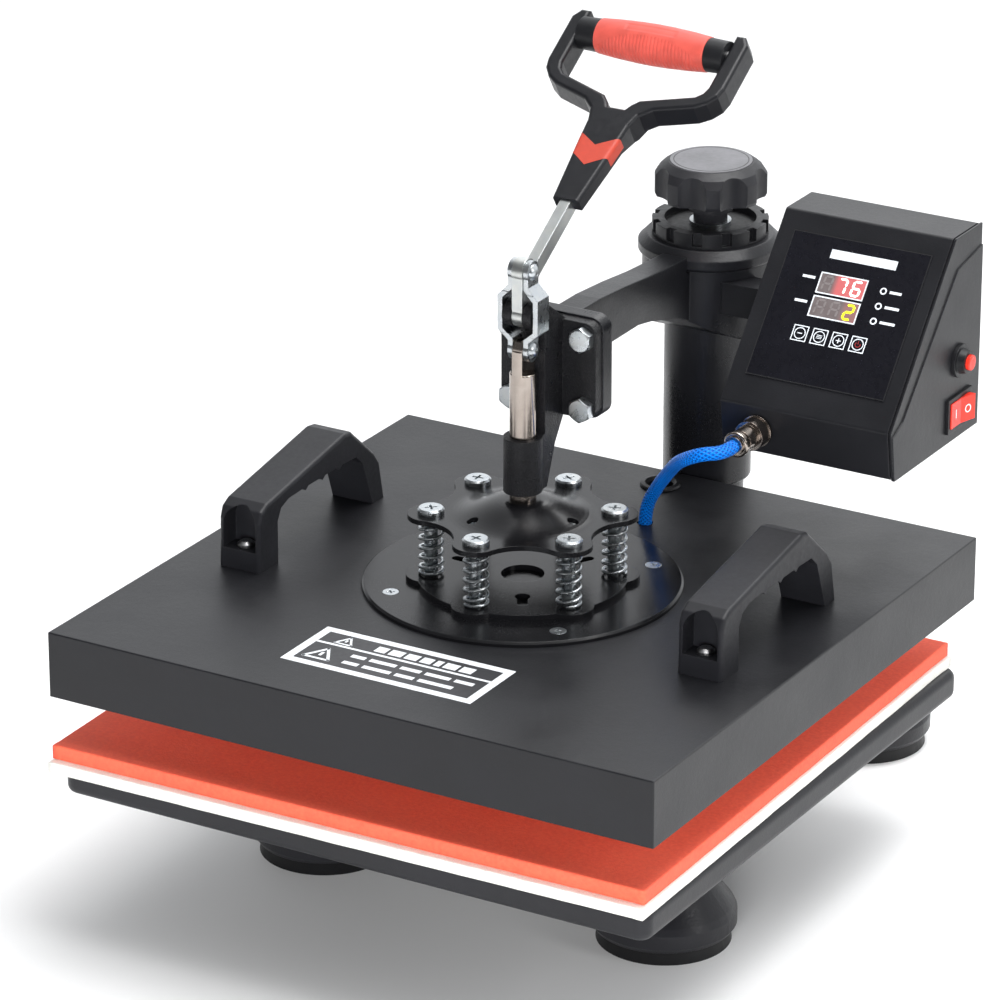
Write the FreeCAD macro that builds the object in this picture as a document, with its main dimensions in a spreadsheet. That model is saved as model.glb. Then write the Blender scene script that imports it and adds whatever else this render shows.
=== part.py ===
"""Swing-away flat heat press with a 380 mm square platen, as a parametric FreeCAD document.

Frame: +X to the operator's right, +Y away from the operator towards the post, +Z up.
Lengths are in millimetres. Every sub-part is modelled in press coordinates, where the plunger's axis
is the Z axis and the bench is z = 0. Its Placement then moves it by frame_x and frame_y, which puts
the middle of the press's footprint at the origin.
"""
import FreeCAD, Part
import math
import os

import Sketcher

V = FreeCAD.Vector
doc = FreeCAD.newDocument("HeatPress")

# --------------------------------------------------------------------------------------------------
# Driving dimensions
# --------------------------------------------------------------------------------------------------
DIMENSIONS = {
    # the press in its frame
    "frame_x": -4.73,
    "frame_y": -48.85,
    "gap": 0.05,
    # base
    "pad_radius": 39.0,
    "pad_height": 8.0,
    "leg_radius": 42.0,
    "leg_rim": 14.0,
    "leg_shoulder": 14.0,
    "leg_top_radius": 28.0,
    "front_foot_x": 114.0,
    "front_foot_y": -35.0,
    "rear_foot_x": 89.0,
    "rear_foot_y": 263.0,
    "bar_bottom": 62.0,
    "plate_bottom": 81.6,
    "spine_width": 76.0,
    "plate_side": 380.0,
    "plate_thick": 18.0,
    "plate_shift_y": -4.0,
    "plate_corner": 8.0,
    "plate_edge": 5.0,
    "felt_side_x": 382.0,
    "felt_side_y": 386.0,
    "felt_thick": 6.7,
    "felt_shift_x": -2.5,
    "felt_shift_y": -11.0,
    "sponge_side": 380.0,
    "sponge_thick": 8.7,
    "sponge_shift_x": -3.5,
    "sponge_shift_y": -9.0,
    "pad_turn": 1.0,
    # post and arm
    "post_y": 221.5,
    "post_radius": 22.5,
    "post_wall": 3.5,
    "post_top": 300.0,
    "socket_radius": 32.0,
    "socket_top": 107.0,
    "sleeve_radius": 26.7,
    "sleeve_bottom": 173.0,
    "hub_radius": 40.5,
    "hub_bottom": 272.5,
    "hub_top": 316.0,
    "hub_cap_radius": 43.0,
    "hub_cap_top": 328.0,
    "castle_radius": 34.8,
    "castle_bore": 27.5,
    "castle_height": 9.0,
    "castle_floor": 5.0,
    "washer_radius": 12.5,
    "washer_thick": 2.5,
    "beam_half": 8.0,
    "end_plate_front": 36.5,
    "end_plate_thick": 10.0,
    "end_plate_half": 31.5,
    "end_plate_bottom": 275.5,
    "end_plate_top": 336.5,
    # toggle
    "pivot_z": 346.0,
    "crank": 26.0,
    "link_length": 47.0,
    "lever_thick": 6.6,
    "shank_front": 3.0,
    "shank_width": 9.0,
    "lever_lean": 57.0,
    "lug_inner": 3.5,
    "lug_outer": 9.3,
    "lug_radius": 8.0,
    "pin_radius": 3.0,
    "flange_front": 28.5,
    "flange_half": 31.0,
    "flange_bottom": 277.5,
    "flange_top": 335.5,
    "bolt_half_x": 23.0,
    "bolt_low": 283.6,
    "bolt_high": 326.1,
    "guide_bottom": 239.0,
    "guide_top": 272.0,
    "guide_radius": 11.3,
    "plunger_radius": 7.7,
    "plunger_shoulder": 311.0,
    "link_thick": 3.0,
    "link_spread": 10.0,
    # platen
    "housing_side": 390.0,
    "housing_shift_y": -1.5,
    "housing_bottom": 141.7,
    "housing_height": 39.5,
    "sheet_metal": 1.5,
    "heat_side": 384.0,
    "heat_thick": 14.0,
    "disc_radius": 92.5,
    "disc_thick": 3.0,
    "disc_screw_circle": 78.0,
    "spring_plate_thick": 3.0,
    "spring_plate_radius": 61.0,
    "spring_circle": 52.5,
    "lobe_radius": 14.0,
    "star_bottom": 221.7,
    "star_thick": 3.0,
    "dome_top": 234.0,
    "screw_head_radius": 7.8,
    "screw_head": 3.5,
    "spring_wire": 1.0,
    "spring_radius": 6.6,
    "handle_x": 151.0,
    "handle_width": 28.0,
    "grommet_x": -4.0,
    "grommet_y": 171.0,
    "grommet_radius": 12.5,
    "lead_radius": 4.0,
    # control box
    "box_left": 88.0,
    "box_right": 194.5,
    "box_cover": 3.0,
    "cover_rim": 0.8,
    "cover_groove": 1.0,
    "box_wall": 2.0,
    "box_nose_y": 72.5,
    "box_nose_z": 287.5,
    "box_chin_y": 77.0,
    "box_chin_z": 257.5,
    "box_brow_y": 149.5,
    "box_top": 380.0,
    "box_back": 183.0,
    "key_side": 9.6,
    "key_pitch": 12.3,
    "switch_y": 156.0,
    "button_z": 305.0,
    "rocker_z": 274.5,
    # height knob
    "knob_radius": 33.5,
    "knob_bottom": 353.0,
    "knob_top": 372.5,
}


class Size:
    """A length with both its value and the sheet expression that it comes from."""

    def __init__(self, value, text):
        self.value = float(value)
        self.text = text

    def _join(self, other, sign, value):
        return Size(value, f"({self.text} {sign} {as_size(other).text})")

    def __add__(self, other):
        return self._join(other, "+", self.value + float(as_size(other)))

    def __sub__(self, other):
        return self._join(other, "-", self.value - float(as_size(other)))

    def __mul__(self, other):
        return self._join(other, "*", self.value * float(as_size(other)))

    def __truediv__(self, other):
        return self._join(other, "/", self.value / float(as_size(other)))

    def __radd__(self, other):
        return as_size(other) + self

    def __rsub__(self, other):
        return as_size(other) - self

    def __rmul__(self, other):
        return as_size(other) * self

    def __neg__(self):
        return Size(-self.value, f"(-1 * {self.text})")

    def __float__(self):
        return self.value


def as_size(number):
    """Wrap a plain number, so that it can stand in an expression."""
    if isinstance(number, Size):
        return number
    return Size(number, f"{number:.6g}" if number >= 0 else f"(0 - {-number:.6g})")


class Sheet:
    """The spreadsheet, with each alias as an attribute that is a Size."""

    def __init__(self, values):
        self.table = doc.addObject("Spreadsheet::Sheet", "Dimensions")
        for row, (alias, value) in enumerate(values.items(), start=1):
            self.table.set(f"A{row}", alias)
            self.table.set(f"B{row}", str(value))
            self.table.setAlias(f"B{row}", alias)
            setattr(self, alias, Size(value, f"Dimensions.{alias}"))


D = Sheet(DIMENSIONS)
doc.recompute()

# --------------------------------------------------------------------------------------------------
# Helpers: every one binds the sizes it is given to the sheet
# --------------------------------------------------------------------------------------------------
AXES = {
    "Z": FreeCAD.Rotation(),
    "X": FreeCAD.Rotation(V(0, 1, 0), 90),
    "Y": FreeCAD.Rotation(V(1, 0, 0), -90),
}
nodes = []


def bind(thing, prop, size):
    """Set a property from the sheet."""
    thing.setExpression(prop, as_size(size).text)


def put(thing, place, rotation=None):
    """Give an object its position, and a rotation if it has one."""
    if rotation is not None:
        thing.Placement = FreeCAD.Placement(V(), rotation)
    for axis, size in zip("xyz", place):
        bind(thing, f"Placement.Base.{axis}", size)
    return thing


def box(place, sizes, rotation=None):
    """A block from its lowest corner."""
    thing = doc.addObject("Part::Box", "Block")
    for prop, size in zip(("Length", "Width", "Height"), sizes):
        bind(thing, prop, size)
    return put(thing, place, rotation)


def block(low, high):
    """A block between two opposite corners."""
    sizes = [as_size(b) - a for a, b in zip(low, high)]
    return box(low, sizes)


def rod(place, radius, length, axis="Z"):
    """A cylinder from the centre of its first end."""
    thing = doc.addObject("Part::Cylinder", "Rod")
    bind(thing, "Radius", radius)
    bind(thing, "Height", length)
    return put(thing, place, AXES[axis])


def cone(place, radius_1, radius_2, length, axis="Z"):
    """A cone or frustum from the centre of its first end."""
    thing = doc.addObject("Part::Cone", "Frustum")
    bind(thing, "Radius1", radius_1)
    bind(thing, "Radius2", radius_2)
    bind(thing, "Height", length)
    return put(thing, place, AXES[axis])


def fuse(*things):
    """One solid from several that overlap."""
    if len(things) == 1:
        return things[0]
    thing = doc.addObject("Part::MultiFuse", "Union")
    thing.Shapes = list(things)
    thing.Refine = True
    return thing


def cut(base, *tools):
    """The base without the tools."""
    thing = doc.addObject("Part::Cut", "Difference")
    thing.Base = base
    thing.Tool = fuse(*tools)
    thing.Refine = True
    return thing


def common(base, tool):
    """What two solids share."""
    thing = doc.addObject("Part::Common", "Intersection")
    thing.Base = base
    thing.Tool = tool
    return thing


def round_edges(base, radius, chosen, chamfer=False):
    """Fillet or chamfer the edges that the test chosen(edge) picks."""
    doc.recompute()
    kind = "Part::Chamfer" if chamfer else "Part::Fillet"
    thing = doc.addObject(kind, "Edges")
    thing.Base = base
    picked = [i for i, edge in enumerate(base.Shape.Edges, start=1) if chosen(edge)]
    thing.Edges = [(i, float(radius), float(radius)) for i in picked]
    return thing


def middle(edge):
    """The middle point of an edge."""
    first, last = edge.ParameterRange
    return edge.valueAt((first + last) / 2)


def upright(edge):
    """Whether an edge is a straight vertical line."""
    if len(edge.Vertexes) != 2:
        return False
    along = edge.Vertexes[0].Point.sub(edge.Vertexes[1].Point).normalize()
    return along.z ** 2 > 0.999


def plane_of(body, role):
    """One of a body's own origin planes or axes."""
    return next(feature for feature in body.Origin.OriginFeatures if feature.Role == role)


def outline_body(plane, corners):
    """A body with one closed outline of straight runs, whose corners are bound to the sheet."""
    body = doc.addObject("PartDesign::Body", "Body")
    sketch = body.newObject("Sketcher::SketchObject", "Outline")
    sketch.AttachmentSupport = [(plane_of(body, plane), "")]
    sketch.MapMode = "FlatFace"
    points = [V(float(as_size(a)), float(as_size(b)), 0) for a, b in corners]
    count = len(points)
    for i in range(count):
        sketch.addGeometry(Part.LineSegment(points[i], points[(i + 1) % count]), False)
    for i in range(count):
        sketch.addConstraint(Sketcher.Constraint("Coincident", i, 2, (i + 1) % count, 1))
    for i, corner in enumerate(corners):
        for kind, size in zip(("DistanceX", "DistanceY"), corner):
            number = sketch.addConstraint(Sketcher.Constraint(kind, -1, 1, i, 1, float(as_size(size))))
            sketch.setExpression(f"Constraints[{number}]", as_size(size).text)
    return body, sketch


def prism(plane, corners, length, start=0):
    """An outline padded along its plane's normal. YZ_Plane takes (y, z) corners and pads along +X."""
    body, sketch = outline_body(plane, corners)
    pad = body.newObject("PartDesign::Pad", "Pad")
    pad.Profile = sketch
    bind(pad, "Length", length)
    bind(sketch, "AttachmentOffset.Base.z", start)
    return body


def turned(corners, place=(0, 0, 0)):
    """A turned part from its half section of (radius, height) corners."""
    body, sketch = outline_body("XZ_Plane", corners)
    revolution = body.newObject("PartDesign::Revolution", "Turning")
    revolution.Profile = sketch
    revolution.ReferenceAxis = (sketch, ["V_Axis"])
    revolution.Angle = 360
    return put(body, place)


def free_shape(shape):
    """A shape that no feature gives, made with Part's own functions from sheet values."""
    thing = doc.addObject("Part::Feature", "Shape")
    thing.Shape = shape
    return thing


def copy_of(thing, place, turn=0):
    """The same piece again, moved to a place and turned about Z."""
    link = doc.addObject("App::Link", "Copy")
    link.LinkedObject = thing
    link.LinkTransform = False
    return put(link, place, FreeCAD.Rotation(V(0, 0, 1), turn))


def group(*things):
    """Separate solids that share one node."""
    thing = doc.addObject("Part::Compound", "Group")
    thing.Links = list(things)
    return thing


def node(label, thing):
    """Name a finished sub-part and place it in the press's frame."""
    holder = thing
    if thing.TypeId == "PartDesign::Body" or thing.ExpressionEngine:
        holder = group(thing)
    holder.Label = label
    put(holder, (D.frame_x, D.frame_y, 0))
    nodes.append(holder)
    return holder


def ring_of(count, radius, first_angle=0.0):
    """The x and y sizes of points evenly spaced on a circle."""
    places = []
    for i in range(count):
        angle = math.radians(first_angle + 360.0 * i / count)
        places.append((radius * round(math.cos(angle), 9), radius * round(math.sin(angle), 9)))
    return places


# --------------------------------------------------------------------------------------------------
# Base
# --------------------------------------------------------------------------------------------------
FEET = [
    (-D.front_foot_x, D.front_foot_y),
    (D.front_foot_x, D.front_foot_y),
    (-D.rear_foot_x, D.rear_foot_y),
    (D.rear_foot_x, D.rear_foot_y),
]


def foot_pads():
    """Four rubber pads with a hollow underside, like shallow suction cups."""
    pad = turned([
        (0, 2.5),
        (D.pad_radius - 6, 1.5),
        (D.pad_radius - 3, 0),
        (D.pad_radius, 0),
        (D.pad_radius - 1.5, D.pad_height),
        (0, D.pad_height),
    ])
    return group(*[copy_of(pad, (x, y, 0)) for x, y in FEET])


def legs():
    """Four bell-shaped legs, hollow castings that flare out to a thick rim."""
    rim_top = D.pad_height + D.leg_rim
    shoulder_top = rim_top + D.leg_shoulder
    leg = turned([
        (0, D.pad_height),
        (D.leg_radius - 2, D.pad_height),
        (D.leg_radius, D.pad_height + 3),
        (D.leg_radius, rim_top - 3),
        (D.leg_radius - 2, rim_top + 1),
        (D.leg_top_radius + 2, shoulder_top),
        (D.leg_top_radius, shoulder_top + 6),
        (D.leg_top_radius, D.bar_bottom),
        (0, D.bar_bottom),
        (0, D.bar_bottom - 10),
        (D.leg_top_radius - 7, D.bar_bottom - 10),
        (D.leg_top_radius - 7, shoulder_top + 3),
        (D.leg_radius - 8, rim_top - 2),
        (D.leg_radius - 8, D.pad_height + 4),
        (0, D.pad_height + 4),
    ])
    return group(*[copy_of(leg, (x, y, 0)) for x, y in FEET])


def cross_bar(foot_x, foot_y):
    """A flat bar with round ends, from leg to leg."""
    height = D.plate_bottom - D.bar_bottom
    bar = block((-foot_x, foot_y - D.leg_top_radius, D.bar_bottom),
                (foot_x, foot_y + D.leg_top_radius, D.plate_bottom))
    ends = [rod((x, foot_y, D.bar_bottom), D.leg_top_radius, height) for x in (-foot_x, foot_x)]
    return fuse(bar, *ends)


def front_crossbar():
    return cross_bar(D.front_foot_x, D.front_foot_y)


def rear_crossbar():
    """The rear bar is cut round the post's socket."""
    bar = cross_bar(D.rear_foot_x, D.rear_foot_y)
    return cut(bar, rod((0, D.post_y, D.bar_bottom - 1), D.socket_radius + D.gap, 30))


def base_spine():
    """The casting between the two bars, with the post's socket on it."""
    front = D.front_foot_y + D.leg_top_radius
    rear = D.rear_foot_y - D.leg_top_radius
    beam = block((-D.spine_width / 2, front, D.bar_bottom), (D.spine_width / 2, rear, D.plate_bottom))
    socket = rod((0, D.post_y, D.bar_bottom), D.socket_radius, D.socket_top - D.bar_bottom)
    collar = cone((0, D.post_y, D.socket_top), D.socket_radius, D.socket_radius - 4, 4)
    bore = rod((0, D.post_y, D.bar_bottom + 6), D.post_radius + D.gap, 100)
    return cut(fuse(beam, socket, collar), bore)


def post():
    """The steel tube that the arm turns on."""
    length = D.post_top - D.bar_bottom - 6
    outside = rod((0, D.post_y, D.bar_bottom + 6), D.post_radius, length)
    inside = rod((0, D.post_y, D.bar_bottom + 5), D.post_radius - D.post_wall, length + 2)
    return cut(outside, inside)


def height_nut():
    """The plug with the height screw's thread, fixed in the top of the post."""
    plug = rod((0, D.post_y, D.post_top - 24), D.post_radius - D.post_wall - D.gap, 24)
    hole = rod((0, D.post_y, D.post_top - 25), SCREW_RADIUS + D.gap, 26)
    return cut(plug, hole)


def lower_plate():
    """The flat plate under the pads, with rounded corners and edges."""
    half = D.plate_side / 2
    plate = block((-half, D.plate_shift_y - half, D.plate_bottom),
                  (half, D.plate_shift_y + half, D.plate_bottom + D.plate_thick))
    holes = [rod((x, y, D.plate_bottom - 1), BOLT_RADIUS + D.gap, 11) for x, y in BASE_BOLTS]
    rounded = round_edges(cut(plate, *holes), D.plate_corner, upright_at(half))
    return round_edges(rounded, D.plate_edge, lambda edge: long_or_corner(edge, float(half)))


def upright_at(half):
    """Pick the upright edges at a square's corners."""
    limit = float(half) - 1
    return lambda edge: upright(edge) and abs(middle(edge).x) > limit


def long_or_corner(edge, half):
    """Pick the edges round the outside of a square plate, on its top and bottom faces."""
    point = middle(edge)
    near_rim = max(abs(point.x), abs(point.y - float(D.plate_shift_y))) > half - 12
    return near_rim and not upright(edge)


def loose_pad(side_x, side_y, shift_x, shift_y, bottom, thick):
    """A loose pad, lying a little askew on the plate."""
    pad = box((-side_x / 2, -side_y / 2, 0), (side_x, side_y, thick))
    return copy_of(pad_holder(pad), (shift_x, shift_y, bottom), DIMENSIONS["pad_turn"])


def pad_holder(pad):
    """A union of one solid, so that a copy keeps the pad's own offset."""
    return group(pad)


def felt_pad():
    bottom = D.plate_bottom + D.plate_thick
    return loose_pad(D.felt_side_x, D.felt_side_y, D.felt_shift_x, D.felt_shift_y, bottom, D.felt_thick)


def silicone_pad():
    bottom = D.plate_bottom + D.plate_thick + D.felt_thick
    side = D.sponge_side
    return loose_pad(side, side, D.sponge_shift_x, D.sponge_shift_y, bottom, D.sponge_thick)


SCREW_RADIUS = as_size(6.0)
BOLT_RADIUS = as_size(4.0)
BASE_BOLTS = [(x, y) for x in (-70, 70) for y in (-50, -20)]


def base_bolts():
    """Four bolts that come up through the front bar into the lower plate."""
    head = turned([(0, -6), (7, -6), (7, 0), (BOLT_RADIUS, 0), (BOLT_RADIUS, 28), (0, 28)])
    return group(*[copy_of(head, (x, y, D.bar_bottom)) for x, y in BASE_BOLTS])


def bored_front_crossbar():
    """The front bar with its four clearance holes."""
    holes = [rod((x, y, D.bar_bottom - 1), BOLT_RADIUS + D.gap, 30) for x, y in BASE_BOLTS]
    return cut(front_crossbar(), *holes)


node("foot_pads", foot_pads())
node("base_legs", legs())
node("front_crossbar", bored_front_crossbar())
node("rear_crossbar", rear_crossbar())
node("base_spine", base_spine())
node("post", post())
node("height_nut", height_nut())
node("lower_plate", lower_plate())
node("felt_pad", felt_pad())
node("silicone_pad", silicone_pad())
node("base_bolts", base_bolts())


# --------------------------------------------------------------------------------------------------
# Arm
# --------------------------------------------------------------------------------------------------
def arm_sleeve():
    """The tube that slides and turns on the post. The hub is pressed on its upper end."""
    length = D.hub_top - D.sleeve_bottom
    outside = rod((0, D.post_y, D.sleeve_bottom), D.sleeve_radius, length)
    inside = rod((0, D.post_y, D.sleeve_bottom - 1), D.post_radius + D.gap, length + 2)
    outer_rim = 2 * math.pi * float(D.sleeve_radius) - 1
    return round_edges(cut(outside, inside), 2,
                       lambda edge: middle(edge).z < 174 and edge.Length > outer_rim)


def arm_casting():
    """The hub, the arched beam and the end plate, in one casting."""
    hub = rod((0, D.post_y, D.hub_bottom), D.hub_radius, D.hub_top - D.hub_bottom)
    back = D.end_plate_front + D.end_plate_thick
    plate = round_edges(
        block((-D.end_plate_half, D.end_plate_front, D.end_plate_bottom),
              (D.end_plate_half, back, D.end_plate_top)),
        8, lambda edge: abs(edge.Vertexes[0].Point.y - edge.Vertexes[1].Point.y) > 5)
    beam = prism("YZ_Plane", [
        (back - 1, D.end_plate_top - 3.5),
        (back + 27.5, D.end_plate_top - 3.5),
        (D.post_y - 117.5, D.hub_top + 15),
        (D.post_y - 86.5, D.hub_top + 12),
        (D.post_y - 43.5, D.hub_top + 9.5),
        (D.post_y - 43.5, D.hub_top - 0.1),
        (D.post_y - 36, D.hub_top - 1),
        (D.post_y - 36, D.hub_bottom + 8.5),
        (D.post_y - 72.1, D.hub_bottom + 23.3),
        (D.post_y - 86.2, D.hub_bottom + 27),
        (D.post_y - 101.7, D.hub_bottom + 29.6),
        (D.post_y - 133, D.hub_bottom + 29.4),
        (back + 25, D.end_plate_bottom + 22),
        (back + 10, D.end_plate_bottom + 12),
        (back - 1, D.end_plate_bottom + 6),
    ], D.beam_half * 2, -D.beam_half)
    arch = prism("YZ_Plane", [
        (D.post_y - 71.5, D.hub_bottom - 12.5),
        (D.post_y - 71.5, D.hub_bottom + 22),
        (D.post_y - 54.8, D.hub_bottom + 18.5),
        (D.post_y - 40.5, D.hub_bottom + 12.8),
        (D.post_y - 36.5, D.hub_bottom + 7.8),
        (D.post_y - 28.5, D.hub_bottom + 2.7),
        (D.post_y - 22.5, D.hub_bottom + 0.5),
        (D.post_y - 18.5, D.hub_bottom - 12.5),
    ], 90, -45)
    bore = rod((0, D.post_y, D.hub_bottom - 1), D.sleeve_radius + D.gap, 100)
    holes = [rod((x, D.end_plate_front - 1, z), M8_RADIUS + D.gap, 20, "Y") for x, z in FLANGE_BOLTS]
    return cut(fuse(hub, plate, group(beam)), group(arch), bore, *holes)


def hub_cap():
    """The chamfered cover plate on top of the hub, which the castle ring sits on."""
    return turned([
        (SCREW_RADIUS + 1, D.hub_top),
        (D.hub_cap_radius - 2, D.hub_top),
        (D.hub_cap_radius, D.hub_top + 2),
        (D.hub_cap_radius, D.hub_cap_top - 5),
        (D.hub_cap_radius - 5, D.hub_cap_top),
        (SCREW_RADIUS + 1, D.hub_cap_top),
    ], (0, D.post_y, 0))


def castle_ring():
    """The ring nut with notches round its rim and a recess for the washer."""
    base = D.hub_cap_top
    ring = cut(rod((0, 0, 0), D.castle_radius, D.castle_height),
               rod((0, 0, D.castle_floor), D.castle_bore, 20),
               rod((0, 0, -1), SCREW_RADIUS + 1, 30))
    notch_width = 6.0
    notches = []
    for i in range(12):
        notch = box((D.castle_radius - 3.4, -notch_width / 2, 1.5), (8, notch_width, 20))
        notches.append(copy_of(pad_holder(notch), (0, 0, 0), 30 * i + 15))
    notched = cut(ring, *notches)
    return copy_of(notched, (0, D.post_y, base))


def thrust_washer():
    """The bright washer under the knob's neck."""
    floor = D.hub_cap_top + D.castle_floor
    disc = rod((0, D.post_y, floor), D.washer_radius, D.washer_thick)
    return cut(disc, rod((0, D.post_y, floor - 1), SCREW_RADIUS + 0.5, 10))


M8_RADIUS = as_size(4.0)
FLANGE_BOLTS = [(x, z) for x in (-D.bolt_half_x, D.bolt_half_x) for z in (D.bolt_low, D.bolt_high)]


def bracket_bolts():
    """Four hex bolts that clamp the toggle bracket to the arm's end plate."""
    head_radius = 7.5
    head_thick = 5.6
    face_radius = 6.2
    bolts = []
    for x, z in FLANGE_BOLTS:
        corners = [(x + a, z + b) for a, b in ring_of(6, as_size(head_radius), 30)]
        head = prism("XZ_Plane", corners, head_thick, -D.flange_front)
        bevel = cone((x, D.flange_front - head_thick, z), face_radius, face_radius + 12, 7, "Y")
        rounded = common(group(head), bevel)
        shank = rod((x, D.flange_front - 2, z), M8_RADIUS, 19, "Y")
        bolts.append(fuse(rounded, shank))
    return group(*bolts)


def toggle_bracket():
    """The casting that carries the toggle: flange, upright rib, two lugs and the plunger's guide."""
    flange_back = D.end_plate_front - D.gap
    flange = round_edges(
        block((-D.flange_half, D.flange_front, D.flange_bottom),
              (D.flange_half, flange_back, D.flange_top)),
        7, lambda edge: abs(edge.Vertexes[0].Point.y - edge.Vertexes[1].Point.y) > 5)
    rib_front = D.plunger_radius + 1.2
    rib = prism("YZ_Plane", [
        (D.flange_front + 3, D.flange_top),
        (D.lug_radius + 6, D.pivot_z + 2),
        (rib_front, D.pivot_z - 2),
        (rib_front, D.guide_top),
        (0, D.guide_top),
        (0, D.guide_bottom),
        (D.guide_radius, D.guide_bottom),
        (D.flange_front - 8, D.guide_bottom + 24),
        (D.flange_front + 3, D.flange_bottom + 2),
    ], D.lug_outer * 2, -D.lug_outer)
    lugs = [lug(D.lug_inner, D.lug_outer), lug(-D.lug_outer, -D.lug_inner)]
    guide = rod((0, 0, D.guide_bottom), D.guide_radius, D.guide_top - D.guide_bottom)
    lever_slot = block((-D.lug_inner, -30, D.pivot_z - 14),
                       (D.lug_inner, D.lug_radius + 10, D.pivot_z + 30))
    bore = rod((0, 0, D.guide_bottom - 1), D.plunger_radius + D.gap, 50)
    pin_hole = rod((-20, 0, D.pivot_z), D.pin_radius, 40, "X")
    holes = [rod((x, D.flange_front - 1, z), M8_RADIUS + D.gap, 20, "Y") for x, z in FLANGE_BOLTS]
    body = fuse(flange, group(rib), guide, *lugs)
    return cut(body, lever_slot, bore, pin_hole, *holes)


def lug(low_x, high_x):
    """One ear of the fixed pivot, round at the front and rooted in the rib."""
    ear = rod((low_x, 0, D.pivot_z), D.lug_radius, high_x - low_x, "X")
    root = block((low_x, 0, D.pivot_z - D.lug_radius),
                 (high_x, D.lug_radius + 5, D.pivot_z + D.lug_radius - 2))
    return fuse(ear, root)


def pivot_pin():
    """The fixed pivot, pressed in both lugs."""
    return rod((-D.lug_outer, 0, D.pivot_z), D.pin_radius - D.gap, D.lug_outer * 2, "X")


node("arm_sleeve", arm_sleeve())
node("arm_casting", arm_casting())
node("hub_cap", hub_cap())
node("castle_ring", castle_ring())
node("thrust_washer", thrust_washer())
node("bracket_bolts", bracket_bolts())
node("toggle_bracket", toggle_bracket())
node("pivot_pin", pivot_pin())


# --------------------------------------------------------------------------------------------------
# Height knob
# --------------------------------------------------------------------------------------------------
def height_knob():
    """A round knob with a crowned top, eight finger flutes and a stepped neck."""
    neck_bottom = D.hub_cap_top + D.castle_floor + D.washer_thick
    neck_step = D.knob_bottom - 11
    knob = turned([
        (0, neck_bottom),
        (10.2, neck_bottom),
        (10.2, neck_step),
        (13.3, neck_step),
        (13.3, D.knob_bottom),
        (D.knob_radius - 9, D.knob_bottom),
        (D.knob_radius - 8, D.knob_bottom - 2),
        (D.knob_radius - 1, D.knob_bottom - 2),
        (D.knob_radius, D.knob_bottom),
        (D.knob_radius, D.knob_top - 8),
        (D.knob_radius - 3, D.knob_top - 3.5),
        (D.knob_radius - 8, D.knob_top),
        (INSERT_RADIUS + D.gap, D.knob_top),
        (INSERT_RADIUS + D.gap, D.knob_top - 1.6),
        (0, D.knob_top - 1.6),
    ])
    flutes = [rod((x, y, D.knob_bottom - 10), 14, 40) for x, y in ring_of(8, D.knob_radius + 9.6, 8)]
    bore = rod((0, 0, neck_bottom - 1), SCREW_RADIUS + D.gap, 22)
    return copy_of(cut(group(knob), bore, *flutes), (0, D.post_y, 0))


INSERT_RADIUS = as_size(24.5)


def knob_insert():
    """The grey disc let into the knob's top."""
    return rod((0, D.post_y, D.knob_top - 1.6), INSERT_RADIUS, 2.0)


def height_screw():
    """The threaded rod, fixed in the knob and turning in the post's nut."""
    neck_bottom = D.hub_cap_top + D.castle_floor + D.washer_thick
    bottom = D.post_top - 60
    return rod((0, D.post_y, bottom), SCREW_RADIUS, neck_bottom + 20 - bottom)


node("height_knob", height_knob())
node("knob_insert", knob_insert())
node("height_screw", height_screw())


# --------------------------------------------------------------------------------------------------
# Lever, modelled upright from the upper pin and then leaned back
# --------------------------------------------------------------------------------------------------
UPPER_PIN_Z = D.pivot_z + D.crank
LEAN = FreeCAD.Rotation(V(1, 0, 0), -DIMENSIONS["lever_lean"])
YOKE_FRONT = 1.5
YOKE_DEPTH = 16.0
STEM_START = 55.0
SHANK_LENGTH = 100.0
GRIP_HEIGHT = 176.0
GRIP_SETBACK = 6.0
ARM_INNER = 48.0


def leaned(thing):
    """Move a piece made about the upper pin to its place on the leaned-back lever."""
    return put(group(thing), (0, 0, UPPER_PIN_Z), LEAN)


def lever_bar():
    """The flat steel bar: an upright crank end between the lugs, bent back into the handle's stem."""
    half = D.lever_thick / 2
    ends = [rod((-half, 0, z), 7.6, D.lever_thick, "X") for z in (D.pivot_z, UPPER_PIN_Z)]
    crank = block((-half, -7.0, D.pivot_z), (half, 7.0, UPPER_PIN_Z))
    shank = leaned(block((-half, D.shank_front, 0), (half, D.shank_front + D.shank_width, SHANK_LENGTH)))
    holes = [
        rod((-20, 0, D.pivot_z), D.pin_radius + D.gap, 40, "X"),
        rod((-20, 0, UPPER_PIN_Z), D.pin_radius + D.gap, 40, "X"),
    ]
    return cut(fuse(crank, shank, *ends), *holes)


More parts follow.
